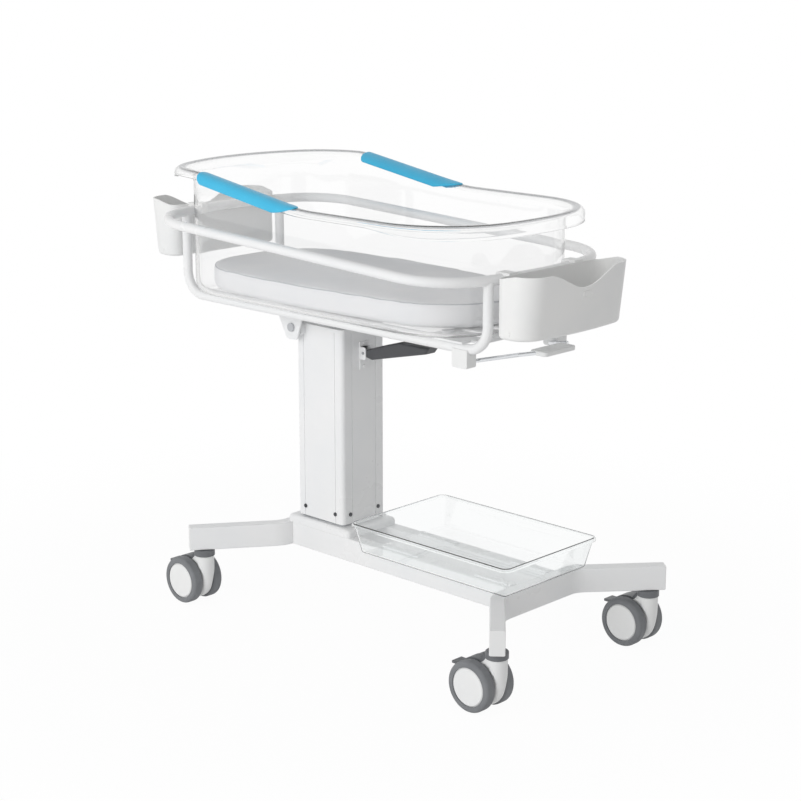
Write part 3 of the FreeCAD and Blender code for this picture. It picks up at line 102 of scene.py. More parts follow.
def tidy_normals(obj):
    """Merges points that coincide and turns every face outwards."""
    make_active(obj)
    bpy.ops.object.mode_set(mode="EDIT")
    bpy.ops.mesh.select_all(action="SELECT")
    bpy.ops.mesh.remove_doubles(threshold=DOUBLES_WITHIN)
    bpy.ops.mesh.normals_make_consistent(inside=False)
    bpy.ops.object.mode_set(mode="OBJECT")


print("points closer than", DOUBLES_WITHIN, "m are merged")

# %% [markdown]
# The camera looks down at the bassinet from its foot end and near side. A long lens, almost four
# metres away, keeps the uprights nearly parallel, as in a catalogue. A wide lens close by would
# take in as much, but the near caster would look far larger than the others.

# %% Camera
CAMERA_PLACE = (2.6561, -2.7016, 1.4208)
CAMERA_DOWN = 14.22         # degrees below the horizon
CAMERA_TURN = 43.83         # degrees round from the near side
LENS_MM = 85.0
SENSOR_MM = 36.0

bpy.ops.object.camera_add(location=CAMERA_PLACE,
                          rotation=(math.radians(90 - CAMERA_DOWN), 0, math.radians(CAMERA_TURN)))
camera = bpy.context.object
camera.data.lens = LENS_MM
camera.data.sensor_width = SENSOR_MM
camera.data.dof.use_dof = False
bpy.context.scene.camera = camera
print("camera", LENS_MM, "mm at", CAMERA_PLACE)

# %% [markdown]
# A material is a small graph of nodes, each of which takes values in and puts values out. These
# helpers add a node together with what feeds each of its inputs, which is either a fixed value
# or the output of another node, so that a graph can be read like a recipe.

# %% Node helpers
def linear(tone):
    """A colour given as 0-255 screen values, taken through the screen's curve to linear ones."""
    shares = [value / 255 for value in tone]
    return (*(share / 12.92 if share <= 0.04045 else ((share + 0.055) / 1.055) ** 2.4
              for share in shares), 1.0)


def feed(graph, socket, source):
    """Gives an input a fixed value, or links it where the source is another node's output."""
    if isinstance(source, bpy.types.NodeSocket):
        graph.links.new(source, socket)
    else:
        socket.default_value = source


def add_node(graph, kind, **inputs):
    """A node with its inputs fed; a space in an input's name is written as an underscore."""
    node = graph.nodes.new("ShaderNode" + kind)
    for name, source in inputs.items():
        feed(graph, node.inputs[name.replace("_", " ")], source)
    return node


def math_node(graph, operation, *operands):
    node = add_node(graph, "Math")
    node.operation = operation
    for slot, source in enumerate(operands):
        feed(graph, node.inputs[slot], source)
    return node.outputs[0]


def rise(graph, value, start, stop, smooth=False, **inputs):
    """A share that goes from 0 to 1 while a value goes from start to stop."""
    node = add_node(graph, "MapRange", Value=value, From_Min=start, From_Max=stop, **inputs)
    if smooth:
        node.interpolation_type = "SMOOTHSTEP"
    return node.outputs["Result"]


def mix_colours(graph, first, second, share):
    node = add_node(graph, "Mix")
    node.data_type = "RGBA"
    for name, source in (("A", first), ("B", second), ("Factor", share)):
        feed(graph, node.inputs[name], source)
    return node.outputs["Result"]


print("a middle grey of 128 on the screen is", round(linear((128, 128, 128))[0], 3), "in light")

# %% [markdown]
# Every finish starts from the same surface shader, and says only what is special to it. What
# more than one finish needs, such as a grain, becomes a node group with named sockets: it is
# built once, and placed in each material with its own values.

# %% Material and group helpers
def new_material(name, tone, roughness, **inputs):
    """A material with one surface shader; returns the material, its graph and the shader."""
    material = bpy.data.materials.new(name)
    material.use_nodes = True
    graph = material.node_tree
    graph.nodes.clear()
    shader = add_node(graph, "BsdfPrincipled", Base_Color=linear(tone), Roughness=roughness,
                      **inputs)
    add_node(graph, "OutputMaterial", Surface=shader.outputs["BSDF"])
    print("material", name)
    return material, graph, shader


def swap_shader(graph, usual, other, share):
    """Shows the usual shader where share is 0, and the other one where it is 1."""
    choose = add_node(graph, "MixShader", Fac=share)
    graph.links.new(usual, choose.inputs[1])
    graph.links.new(other, choose.inputs[2])
    output = next(node for node in graph.nodes if node.type == "OUTPUT_MATERIAL")
    graph.links.new(choose.outputs["Shader"], output.inputs["Surface"])


def new_group(name, inputs, outputs):
    """A node group; inputs map a name to its first value, outputs map a name to a socket kind."""
    group = bpy.data.node_groups.new(name, "ShaderNodeTree")
    for socket, value in inputs.items():
        kind = "NodeSocketColor" if isinstance(value, tuple) else "NodeSocketFloat"
        made = group.interface.new_socket(name=socket, in_out="INPUT", socket_type=kind)
        made.default_value = value
    for socket, kind in outputs.items():
        group.interface.new_socket(name=socket, in_out="OUTPUT", socket_type=kind)
    print("group", name, "from", list(inputs), "to", list(outputs))
    return group, group.nodes.new("NodeGroupInput").outputs, group.nodes.new("NodeGroupOutput")


def use_group(graph, group, **inputs):
    """Places a group in a material and returns its outputs."""
    node = graph.nodes.new("ShaderNodeGroup")
    node.node_tree = group
    for name, source in inputs.items():
        feed(graph, node.inputs[name], source)
    return node.outputs


# %% [markdown]
# Coated steel and moulded plastic are never optically flat. Powder coat dries with a faint
# orange peel, and moulded parts carry the fine grain of their mould. One group makes both: a
# noise pattern in the object's own coordinates bends the surface normal, as a relief of a few
# hundredths of a millimetre would. Its values are what differ from finish to finish.

# %% Group: fine grain
grain_group, entry, leave = new_group(
    "fine grain", {"Scale": 600.0, "Depth": 0.00005, "Strength": 0.3},
    {"Normal": "NodeSocketVector"})
place = add_node(grain_group, "TexCoord")
noise = add_node(grain_group, "TexNoise", Vector=place.outputs["Object"], Scale=entry["Scale"],
                 Detail=3.0)
bump = add_node(grain_group, "Bump", Height=noise.outputs["Fac"], Distance=entry["Depth"],
                Strength=entry["Strength"])
feed(grain_group, leave.inputs["Normal"], bump.outputs["Normal"])

# %% [markdown]
# Handling, cleaning and ageing leave soft patches a hand's width across, where a finish is a
# little lighter or a little glossier. This group mixes two close colours and two close
# roughnesses by one slow noise, so that colour and gloss drift together. Noise seldom leaves its
# middle values, so the patches are made by what lies between 0.35 and 0.65.

# %% Group: tone drift
PATCH_FROM, PATCH_TO = 0.35, 0.65
WHITE = (1.0, 1.0, 1.0, 1.0)

drift_group, entry, leave = new_group(
    "tone drift", {"Colour": WHITE, "Other": WHITE, "Scale": 6.0, "Gloss": 0.3, "Dull": 0.4},
    {"Colour": "NodeSocketColor", "Roughness": "NodeSocketFloat"})
place = add_node(drift_group, "TexCoord")
noise = add_node(drift_group, "TexNoise", Vector=place.outputs["Object"], Scale=entry["Scale"],
                 Detail=4.0, Roughness=0.6)
patch = rise(drift_group, noise.outputs["Fac"], PATCH_FROM, PATCH_TO)
gloss = add_node(drift_group, "Mix", Factor=patch, A=entry["Gloss"], B=entry["Dull"])
feed(drift_group, leave.inputs["Colour"],
     mix_colours(drift_group, entry["Colour"], entry["Other"], patch))
feed(drift_group, leave.inputs["Roughness"], gloss.outputs["Result"])

# %% [markdown]
# Most solid finishes of the bassinet are then one recipe: a drifting tone and a fine grain. The
# function wires both groups to a surface shader. Tones are written as they should read on the
# screen; gloss and dull are the roughness of the glossiest and the dullest patch.

# %% Recipe for coated and moulded finishes
def finish(name, tone, other, gloss, dull, grain_scale, grain_depth, drift_scale=6.0, **inputs):
    material, graph, shader = new_material(name, tone, gloss, **inputs)
    drift = use_group(graph, drift_group, Colour=linear(tone), Other=linear(other),
                      Scale=drift_scale, Gloss=gloss, Dull=dull)
    grain = use_group(graph, grain_group, Scale=grain_scale, Depth=grain_depth)
    feed(graph, shader.inputs["Base Color"], drift["Colour"])
    feed(graph, shader.inputs["Roughness"], drift["Roughness"])
    feed(graph, shader.inputs["Normal"], grain["Normal"])
    return material


white_enamel = finish("white enamel", (243, 243, 243), (239, 240, 241), gloss=0.26, dull=0.34,
                      grain_scale=420.0, grain_depth=0.00006)
white_plastic = finish("white plastic", (241, 241, 240), (236, 237, 237), gloss=0.38, dull=0.46,
                       grain_scale=1500.0, grain_depth=0.00003)
sky_blue = finish("sky blue plastic", (66, 190, 230), (60, 183, 225), gloss=0.34, dull=0.42,
                  grain_scale=1400.0, grain_depth=0.00004)
grip_grey = finish("dark grey grip", (74, 75, 78), (80, 81, 84), gloss=0.45, dull=0.56,
                   grain_scale=1800.0, grain_depth=0.00008)
hood_grey = finish("grey hood plastic", (112, 114, 117), (106, 108, 111), gloss=0.40, dull=0.50,
                   grain_scale=1600.0, grain_depth=0.00005)
tyre_grey = finish("grey tyre rubber", (128, 130, 133), (120, 122, 125), gloss=0.55, dull=0.68,
                   grain_scale=900.0, grain_depth=0.00008, drift_scale=18.0)
pad_white = finish("soft rest pad", (226, 227, 228), (218, 219, 221), gloss=0.60, dull=0.70,
                   grain_scale=900.0, grain_depth=0.00006)
chrome = finish("chrome", (226, 228, 230), (220, 222, 225), gloss=0.07, dull=0.12,
                grain_scale=300.0, grain_depth=0.00001, Metallic=1.0)
bright_steel = finish("bright steel", (200, 202, 204), (190, 192, 195), gloss=0.22, dull=0.32,
                      grain_scale=700.0, grain_depth=0.00003, Metallic=1.0)
dark_steel = finish("dark screw steel", (92, 93, 95), (80, 81, 84), gloss=0.35, dull=0.45,
                    grain_scale=900.0, grain_depth=0.00003, Metallic=1.0)

# %% [markdown]
# The tub and the storage tray are clear acrylic: no colour of their own, smooth, and seen
# mostly by the thin dark lines where the sheet turns. Those lines are painted shade: where light
# was caught inside the sheet and bounced along it before it got out, the material darkens the
# sheet's colour. It tells that light by three facts: the ray meets the skin from behind, it has
# just been reflected, and it has run further than straight through the wall. The crest of the
# rolled rim, where the sheet is bent over, gets a darker painted colour too: a mask picks the
# skin that lies level, above a given height. Light that falls on the mattress through the walls
# must not be bent, because a path tracer would lose it, so shadow rays and the light between
# matt surfaces pass straight through.

# %% Clear acrylic
ACRYLIC_IOR = 1.49
ACRYLIC_SHINE = 0.12
SMOOTH_SHEET, WIPED_SHEET = 0.0, 0.02   # roughness, from patch to patch
WIPE_SCALE = 9.0
# painted shade: light reflected inside the sheet over runs this long gets the dark caught colour
CAUGHT_SHADE_FROM, CAUGHT_SHADE_TO = 1.2, 1.5       # length of a run inside the sheet, in wall thicknesses
# painted shade: skin this level on the crest gets the grey crest colour
CREST_SHADE_LEVEL_FROM, CREST_SHADE_LEVEL_TO = 0.94, 0.99       # upward share of the normal on the crest


def clear_finish(name, tone, painted_caught_shade, painted_crest_shade, wall, crest_shade_above):
    material, graph, shader = new_material(name, tone, SMOOTH_SHEET, Transmission_Weight=1.0,
                                           IOR=ACRYLIC_IOR, Specular_IOR_Level=ACRYLIC_SHINE)
    clear = linear(tone)
    wipe = use_group(graph, drift_group, Colour=clear, Other=clear, Scale=WIPE_SCALE,
                     Gloss=SMOOTH_SHEET, Dull=WIPED_SHEET)
    feed(graph, shader.inputs["Roughness"], wipe["Roughness"])

    path = add_node(graph, "LightPath").outputs
    skin = add_node(graph, "NewGeometry").outputs
    # painted shade: the share of the dark caught colour, for light reflected inside the sheet
    inside = math_node(graph, "MULTIPLY", skin["Backfacing"], path["Is Reflection Ray"])
    run = rise(graph, path["Ray Length"], CAUGHT_SHADE_FROM * wall, CAUGHT_SHADE_TO * wall)
    painted_caught_share = math_node(graph, "MULTIPLY", inside, run)

    # painted shade: level skin above a given height, on the crest, is given a grey colour
    place = add_node(graph, "TexCoord").outputs
    facing = add_node(graph, "SeparateXYZ", Vector=place["Normal"]).outputs["Z"]
    height = add_node(graph, "SeparateXYZ", Vector=place["Object"]).outputs["Z"]
    level = rise(graph, math_node(graph, "ABSOLUTE", facing), CREST_SHADE_LEVEL_FROM, CREST_SHADE_LEVEL_TO, smooth=True)
    painted_crest_share = math_node(graph, "MULTIPLY", level,
                         math_node(graph, "GREATER_THAN", height, crest_shade_above))

    crest_shaded_colour = mix_colours(graph, clear, linear(painted_crest_shade), painted_crest_share)
    feed(graph, shader.inputs["Base Color"], mix_colours(graph, crest_shaded_colour, linear(painted_caught_shade), painted_caught_share))
    through = add_node(graph, "BsdfTransparent", Color=clear)
    straight = math_node(graph, "MAXIMUM", path["Is Shadow Ray"], path["Is Diffuse Ray"])
    swap_shader(graph, shader.outputs["BSDF"], through.outputs["BSDF"], straight)
    return material


# painted shade: the caught and crest colours are dark tints mixed into the clear sheet; only the
# clear tone is the acrylic's own
clear_acrylic = clear_finish("clear acrylic", (254, 254, 254), painted_caught_shade=(84, 86, 88),
                             painted_crest_shade=(152, 154, 157), wall=0.004, crest_shade_above=0.80)
clear_tray = clear_finish("clear tray acrylic", (253, 254, 254), painted_caught_shade=(84, 86, 88),
                          painted_crest_shade=(170, 172, 174), wall=0.0025, crest_shade_above=0.22)

# %% [markdown]
# Each carried-over piece now takes the finish its real counterpart has. The pieces keep their
# shape; only the material in their slot changes.

# %% Finishes of the frame pieces
CASTERS = [f"caster_{end}_{side}" for end in ("head", "foot") for side in ("near", "far")]
PIECES_BY_FINISH = {
    white_enamel: ["head_crossbar", "foot_crossbar", "base_beams", "base_plate", "outer_column",
                   "column_head", "lever_bracket", "guard_rail", "near_cradle_tube",
                   "far_cradle_tube", "tilt_saddle", "foot_plate", "tilt_spring_cylinder"],
    white_plastic: ["arm_end_caps", "head_bin", "foot_bin", "label_holder", "release_blocks",
                    "release_paddle", "upper_glides", "lower_glides"]
                   + [c + "_housing" for c in CASTERS] + [c + "_hubs" for c in CASTERS],
    hood_grey: [c + "_hood" for c in CASTERS] + [c + "_pedal" for c in CASTERS],
    tyre_grey: [c + "_tyres" for c in CASTERS],
    grip_grey: ["lever_grip"],
    sky_blue: ["near_grip", "far_grip"],
    clear_acrylic: ["tub"],
    clear_tray: ["tray"],
    pad_white: ["rest_pads", "mattress"],
    chrome: ["release_bail", "lift_spring_rod", "tilt_spring_rod", "lift_release_pin"],
    dark_steel: ["column_screws"],
    bright_steel: ["mast", "caster_stems", "tilt_pins", "lever_pin", "lever_arm",
                   "lift_spring_cylinder"],
}
dressed = set()
for material, names in PIECES_BY_FINISH.items():
    for node_name in names:
        NODES[node_name].material_slots[0].material = material
        dressed.add(node_name)
print("dressed", len(dressed), "of", len(NODES), "left", sorted(set(NODES) - dressed))

# %% [markdown]
# The moulded pieces start from an outline seen from above. This helper walks round a closed
# polygon with rounded corners and gives each point with its outward direction, so that a rim, a
# wall and a floor can be the same outline, moved inwards. The two small ones after it serve the
# bends: the sines and cosines of a quarter turn, and a share that starts and stops gently.

# %% Outlines and bends
def rounded_outline(corners, radii, step):
    """Points and outward directions round a counter-clockwise polygon with rounded corners."""
    arcs = []
    for i, (at, radius) in enumerate(zip(corners, radii)):
        at = Vector(at)
        heading = (at - Vector(corners[i - 1])).normalized()
        leaving = (Vector(corners[(i + 1) % len(corners)]) - at).normalized()
        turn = math.atan2(heading.x * leaving.y - heading.y * leaving.x, heading.dot(leaving))
        start = at - heading * radius * math.tan(turn / 2)
        side = Vector((heading.y, -heading.x))
        steps = max(2, math.ceil(radius * turn / step))
        arc = []
        for k in range(steps + 1):
            angle = turn * k / steps
            out = Vector((side.x * math.cos(angle) - side.y * math.sin(angle),
                          side.x * math.sin(angle) + side.y * math.cos(angle)))
            arc.append((start + (out - side) * radius, out))
        arcs.append(arc)
    outline = []
    for i, arc in enumerate(arcs):
        outline += arc
        (end, out), (follow, _) = arc[-1], arcs[(i + 1) % len(arcs)][0]
        steps = max(1, round((follow - end).length / step))
        outline += [(end.lerp(follow, k / steps), out) for k in range(1, steps)]
    return outline


def quarter_turn(steps, first=0):
    """The sine and cosine at each of the equal steps of a quarter turn, from the first on."""
    angles = [math.radians(90 * k / steps) for k in range(first, steps + 1)]
    return [(math.sin(angle), math.cos(angle)) for angle in angles]


def eased(share):
    """A share held between 0 and 1, which leaves the one and reaches the other gently."""
    share = min(max(share, 0), 1)
    return share * share * (3 - 2 * share)


print("half way through a quarter turn:", [round(v, 3) for v in quarter_turn(2)[1]])

# %% [markdown]
# Over such outlines, stacked as rings, one skin is stretched, as a sheet is stretched over its
# mould. Rings are the right way here because the height of the rim and the depth of its lip
# change on the way round, which no single extrusion follows. A sheet is drawn as its inner skin
# alone, and Solidify then gives it the same thickness everywhere.

# %% Skins and sheets
CUT_EDGE_ANGLE = math.radians(60)       # edges sharper than this are softened


def ring_skin(name, rings, close_last=False):
    """One skin over closed rings, all with as many points; the first ring gets a flat face."""
    mesh = bmesh.new()
    rows = [[mesh.verts.new(point) for point in ring] for ring in rings]
    for row, following in zip(rows, rows[1:]):
        for i in range(len(row)):
            mesh.faces.new((row[i - 1], row[i], following[i], following[i - 1]))
    mesh.faces.new(rows[0])
    if close_last:
        mesh.faces.new(rows[-1])
    data = bpy.data.meshes.new(name)
    mesh.to_mesh(data)
    mesh.free()
    obj = bpy.data.objects.new(name, data)
    bpy.context.scene.collection.objects.link(obj)
    tidy_normals(obj)
    return obj


def give_thickness(obj, thickness, edge_width):
    """Thickens an open dish downwards and outwards, and softens the cut edge of its lip."""
    if obj.data.polygons[-1].normal.z < 0:
        make_active(obj)
        bpy.ops.object.mode_set(mode="EDIT")
        bpy.ops.mesh.select_all(action="SELECT")
        bpy.ops.mesh.flip_normals()
        bpy.ops.object.mode_set(mode="OBJECT")
    apply_modifier(obj, "SOLIDIFY", thickness=thickness, offset=-1.0, use_even_offset=True)
    apply_modifier(obj, "BEVEL", width=edge_width, segments=2, limit_method="ANGLE",
                   angle_limit=CUT_EDGE_ANGLE)


print("cut edges over", round(math.degrees(CUT_EDGE_ANGLE)), "degrees are softened")

# %% [markdown]
# The clear tub is the basin that the baby lies in. A real one is a single acrylic sheet, heated
# until it is soft and drawn over a mould, so its wall has one thickness everywhere, its floor
# meets the walls in a generous curve, and its rim rolls outwards and down into a lip that is
# smooth to lift by. The rim stands higher round the head and slopes down to the foot. These are
# the sizes that say all of this.

# %% Tub: sizes
TUB_LOW, TUB_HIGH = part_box("tub")
RIM_HALF = TUB_HIGH.y
RIM_TOP_HEAD, RIM_TOP_FOOT = 0.932, 0.885
RAMP_HEAD, RAMP_FOOT = -0.2776, 0.0124      # the slope of the rim, along X
RAMP_EASE = {RAMP_HEAD: 0.022, RAMP_FOOT: 0.045}
HEAD_CORNER = (RAMP_HEAD, 0.095)            # centre of the corner arc, along and across
FOOT_CORNER = (0.2394, 0.061)
RIM_STEP = 0.009                            # from point to point round the rim
TUB_FLOOR = 0.671                           # the surface that the mattress lies on
FLOOR_START = 0.085                         # the flat middle ends here, in from the rim
TUB_WALL = 0.004
WALL_INSET = 0.0425                         # inside of the wall, from the edge of the rim
FLOOR_CURVE = 0.024
CREST = 0.013                               # highest line of the roll, from its edge
ROLL_DROP = 0.019                           # from the crest down to the upright wall
LIP_DROP = 0.012                            # from the crest down to where the lip hangs straight
LIP_SIDE, LIP_MORE = 0.013, 0.014           # whole lip along the sides, and what the ends add
LIP_GROWS_HEAD = (-0.3216, 0.100)           # from this X on, over this length
LIP_GROWS_FOOT = (0.1944, 0.162)
TUB_CUT_EDGE = 0.0012
print("tub", [round(v, 3) for v in TUB_HIGH - TUB_LOW])

# %% [markdown]
# The sheet is described twice. Seen from above, the rim is a stadium whose ends bulge: a corner
# arc on each side of a much flatter end arc, with the radii worked out so that they meet without
# a kink. Seen in section, the sheet is a chain of quarter turns and straight stretches.

# %% Tub: rim and section
def oval_end(end_x, corner):
    """Where the sides and the tip of one end meet, and the radii of its corner and end arcs."""
    corner_x, corner_y = corner
    sign = 1 if end_x > corner_x else -1
    radius = RIM_HALF - corner_y
    reach = abs(end_x - corner_x)
    flat = (reach ** 2 + corner_y ** 2 - radius ** 2) / (2 * (reach - radius))
    centre = end_x - sign * flat
    turn = math.atan2(corner_y, sign * (corner_x - centre))
    side = centre + sign * (flat - RIM_HALF * math.sin(turn)) / math.cos(turn)
    return side, centre + sign * flat / math.cos(turn), radius, flat


def rim_height(x):
    """Height of the crest: level, a slope, and level again, with the two bends eased."""
    slope = (RIM_TOP_HEAD - RIM_TOP_FOOT) / (RAMP_FOOT - RAMP_HEAD)
    height = RIM_TOP_FOOT + slope * min(max(RAMP_FOOT - x, 0), RAMP_FOOT - RAMP_HEAD)
    for bend, side in ((RAMP_FOOT, 1), (RAMP_HEAD, -1)):
        near = max(RAMP_EASE[bend] - abs(x - bend), 0)
        height += side * slope * near ** 2 / (4 * RAMP_EASE[bend])
    return height


def lip_depth(x):
    """The lip is deep across both ends, where hands go, and shallow along the sides."""
    (head_from, head_run), (foot_from, foot_run) = LIP_GROWS_HEAD, LIP_GROWS_FOOT
    return LIP_SIDE + LIP_MORE * eased(max((head_from - x) / head_run, (x - foot_from) / foot_run))


def tub_section(x):
    """The sheet from the floor to the edge of the lip: how far in from the rim, and how high."""
    top = rim_height(x)
    low, high = TUB_FLOOR + FLOOR_CURVE, top - ROLL_DROP
    deep = lip_depth(x) - LIP_DROP
    section = [(FLOOR_START, TUB_FLOOR), (WALL_INSET + FLOOR_CURVE, TUB_FLOOR)]
    section += [(WALL_INSET + FLOOR_CURVE * (1 - sine), TUB_FLOOR + FLOOR_CURVE * (1 - cosine))
                for sine, cosine in quarter_turn(8, first=1)]
    section += [(WALL_INSET, low + (high - low) * k / 6) for k in range(1, 7)]
    section += [(CREST + (WALL_INSET - CREST) * cosine, high + ROLL_DROP * sine)
                for sine, cosine in quarter_turn(10, first=1)]
    section += [(CREST * (1 - sine), top - LIP_DROP * (1 - cosine))
                for sine, cosine in quarter_turn(8, first=1)]
    return section + [(0.0, top - LIP_DROP - deep * k / 2) for k in (1, 2)]


head_side, head_tip, head_r, head_flat = oval_end(TUB_LOW.x, HEAD_CORNER)
foot_side, foot_tip, foot_r, foot_flat = oval_end(TUB_HIGH.x, FOOT_CORNER)
rim = rounded_outline([(head_side, -RIM_HALF), (foot_side, -RIM_HALF), (foot_tip, 0),
                       (foot_side, RIM_HALF), (head_side, RIM_HALF), (head_tip, 0)],
                      [head_r, foot_r, foot_flat, foot_r, head_r, head_flat], RIM_STEP)
sections = [tub_section(point.x) for point, _ in rim]
rings = [[(*(point - out * inset), z) for (point, out), (inset, z) in zip(rim, row)]
         for row in zip(*sections)]
print("rim", len(rim), "points round, in", len(rings), "rings")

# %% [markdown]
# The skin runs from the middle of the floor out to the edge of the lip. It is the side that the
# baby sees, and the 4 mm of the sheet are added below and outside it, so that the mattress still
# lies on the height that was given. The cut edge of the lip is flame polished on a real tub, and
# gets a small bevel here.

# %% Tub: the sheet
tub = ring_skin("basin_tub", rings)
give_thickness(tub, TUB_WALL, TUB_CUT_EDGE)
settle(tub, "basin_tub", 50)
tub.data.materials.append(clear_acrylic)
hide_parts("tub")
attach(tub, "basin")
print("tub", len(tub.data.polygons), "faces")

# %% [markdown]
# Two blue grips mark where the tub is lifted. Each is a soft plastic channel clipped over the
# rolled rim along the slope: blunt at the head end, and running out to a point at the foot end.
# The channel is a short stretch of the roll's own profile, moved outwards by its thickness, so it
# hugs the rim wherever that goes. Its two long edges are rounded by letting the thickness run
# out over the last 3 mm.

# %% Grips: the roll that they follow
GRIP_REACH = 0.0418          # inner edge, from the edge of the rim
GRIP_DEPTH = 0.020           # outer edge, below the crest


def roll_path():
    """The roll's skin from the grip's inner edge to its lowest edge, with outward directions."""
    inner = WALL_INSET - CREST
    path = []
    first = math.acos((GRIP_REACH - CREST) / inner)
    for k in range(12):
        angle = first + (math.pi / 2 - first) * k / 12
        out = Vector((math.cos(angle) / inner, math.sin(angle) / ROLL_DROP)).normalized()
        path.append((Vector((CREST + inner * math.cos(angle),
                             ROLL_DROP * (math.sin(angle) - 1))), out))
    for sine, cosine in quarter_turn(12):
        out = Vector((-sine / CREST, cosine / LIP_DROP)).normalized()
        path.append((Vector((CREST * (1 - sine), LIP_DROP * (cosine - 1))), out))
    for k in range(1, 7):
        path.append((Vector((0, -LIP_DROP - (GRIP_DEPTH - LIP_DROP) * k / 6)), Vector((-1, 0))))
    return path


ROLL_PATH = roll_path()
ROLL_RUN = [0.0]
for (before, _), (after, _) in zip(ROLL_PATH, ROLL_PATH[1:]):
    ROLL_RUN.append(ROLL_RUN[-1] + (after - before).length)


def on_roll(run):
    """The place and the outward direction at a distance along the roll's skin."""
    k = next((k for k in range(1, len(ROLL_RUN)) if run <= ROLL_RUN[k]), len(ROLL_RUN) - 1)
    share = (run - ROLL_RUN[k - 1]) / (ROLL_RUN[k] - ROLL_RUN[k - 1])
    (place, out), (next_place, next_out) = ROLL_PATH[k - 1], ROLL_PATH[k]
    return place.lerp(next_place, share), out.lerp(next_out, share).normalized()


print("roll", round(1000 * ROLL_RUN[-1], 1), "mm across a grip")

# %% [markdown]
# A grip is then a row of closed sections along the slope. Each section has its own share of the
# full width, so the head end turns round within 12 mm and the foot end thins out over 55 mm.

# %% Grips: the two channels
GRIP_THICK = 0.0029
GRIP_GAP = 0.0001            # between the channel and the acrylic
GRIP_EDGE = 0.003
GRIP_BLUNT, GRIP_TAPER = 0.012, 0.055
GRIP_HEAD = RAMP_HEAD + 0.013
GRIP_STEPS = 22              # along each skin of a section
BLUNT_LEAST = 0.12           # share of the width at the blunt tip
TAPER_LOSS = 0.99            # share of the squared width that the taper takes away
MIDDLE, TAPER_MIDDLE = 0.50, 0.55   # where on the roll the sections narrow to
TIP_THICK = 0.4              # share of the thickness left where the width runs out


def grip_section(x, side, start, stop, thick):
    """Closed section of a grip at x, from start to stop along the roll's skin."""
    outer, inner = [], []
    for k in range(GRIP_STEPS + 1):
        share = 0.5 - 0.5 * math.cos(math.pi * k / GRIP_STEPS)
        place, out = on_roll(start + (stop - start) * share)
        edge = min(share, 1 - share) * (stop - start) / GRIP_EDGE
        bulge = thick * math.sqrt(max(1 - (1 - min(edge, 1)) ** 2, 0))
        outer.append(place + out * (GRIP_GAP + bulge))
        inner.append(place + out * GRIP_GAP)
    return [(x, side * (RIM_HALF - p.x), rim_height(x) + p.y) for p in outer + inner[::-1]]


full = ROLL_RUN[-1]
straight = RAMP_FOOT - GRIP_TAPER - GRIP_HEAD - GRIP_BLUNT
stations = [(GRIP_HEAD + GRIP_BLUNT * (1 - cosine), max(sine, BLUNT_LEAST), MIDDLE)
            for sine, cosine in quarter_turn(8)]
stations += [(GRIP_HEAD + GRIP_BLUNT + straight * k / 20, 1.0, MIDDLE) for k in range(1, 20)]
stations += [(RAMP_FOOT - GRIP_TAPER * (1 - k / 14), math.sqrt(1 - k / 14 * TAPER_LOSS),
              TAPER_MIDDLE) for k in range(15)]
for side_name, side in (("near", -1), ("far", 1)):
    sections = [grip_section(x, side, full * where * (1 - share),
                             full * (where + (1 - where) * share),
                             GRIP_THICK * min(1, TIP_THICK + share))
                for x, share, where in stations]
    grip = ring_skin(side_name + "_rim_grip", sections, close_last=True)
    settle(grip, side_name + "_rim_grip", 60)
    grip.data.materials.append(sky_blue)
    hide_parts(side_name + "_grip")
    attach(grip, "basin")
    print(grip.name, len(grip.data.polygons), "faces")

# %% [markdown]
# The mattress has a welded, wipe-clean cover: a coated cloth, whose threads still show as a very
# fine crossed relief under the coating. Two bands of waves at right angles make that weave, and
# go into a group because the cover and its piping share it.

# %% Mattress cover material
WAVE_WANDER = 0.6
WEAVE_STRENGTH = 0.4
COVER_SCALE = 9.0

weave_group, entry, leave = new_group("cover weave", {"Scale": 900.0, "Depth": 0.00004},
                                      {"Normal": "NodeSocketVector"})
place = add_node(weave_group, "TexCoord")
threads = []
for direction in ("X", "Y"):
    wave = add_node(weave_group, "TexWave", Vector=place.outputs["Object"],
                    Scale=entry["Scale"], Distortion=WAVE_WANDER)
    wave.bands_direction = direction
    threads.append(wave.outputs["Fac"])
bump = add_node(weave_group, "Bump", Height=math_node(weave_group, "ADD", *threads),
                Distance=entry["Depth"], Strength=WEAVE_STRENGTH)
feed(weave_group, leave.inputs["Normal"], bump.outputs["Normal"])


def cover_finish(name, tone, other, roughness):
    material, graph, shader = new_material(name, tone, roughness)
    drift = use_group(graph, drift_group, Colour=linear(tone), Other=linear(other),
                      Scale=COVER_SCALE, Gloss=roughness, Dull=roughness + 0.1)
    weave = use_group(graph, weave_group)
    feed(graph, shader.inputs["Base Color"], drift["Colour"])
    feed(graph, shader.inputs["Roughness"], drift["Roughness"])
    feed(graph, shader.inputs["Normal"], weave["Normal"])
    return material


cover_white = cover_finish("wipe-clean cover", (238, 238, 239), (233, 234, 236), 0.5)
piping_grey = cover_finish("cover piping", (196, 198, 201), (188, 190, 194), 0.55)

# %% [markdown]
# The mattress itself is a foam pad, flat on top and upright at the sides. Foam pushes its cover
# out evenly from inside, and that is how it is made here: the plain pad is turned into an even
# net, swollen a little by a cloth simulation with pressure and no gravity, and held to within a
# few millimetres of where it started. The floor of the tub keeps its underside flat. A bevelled
# block would give the same outline, but with edges as even as those of a wooden board.

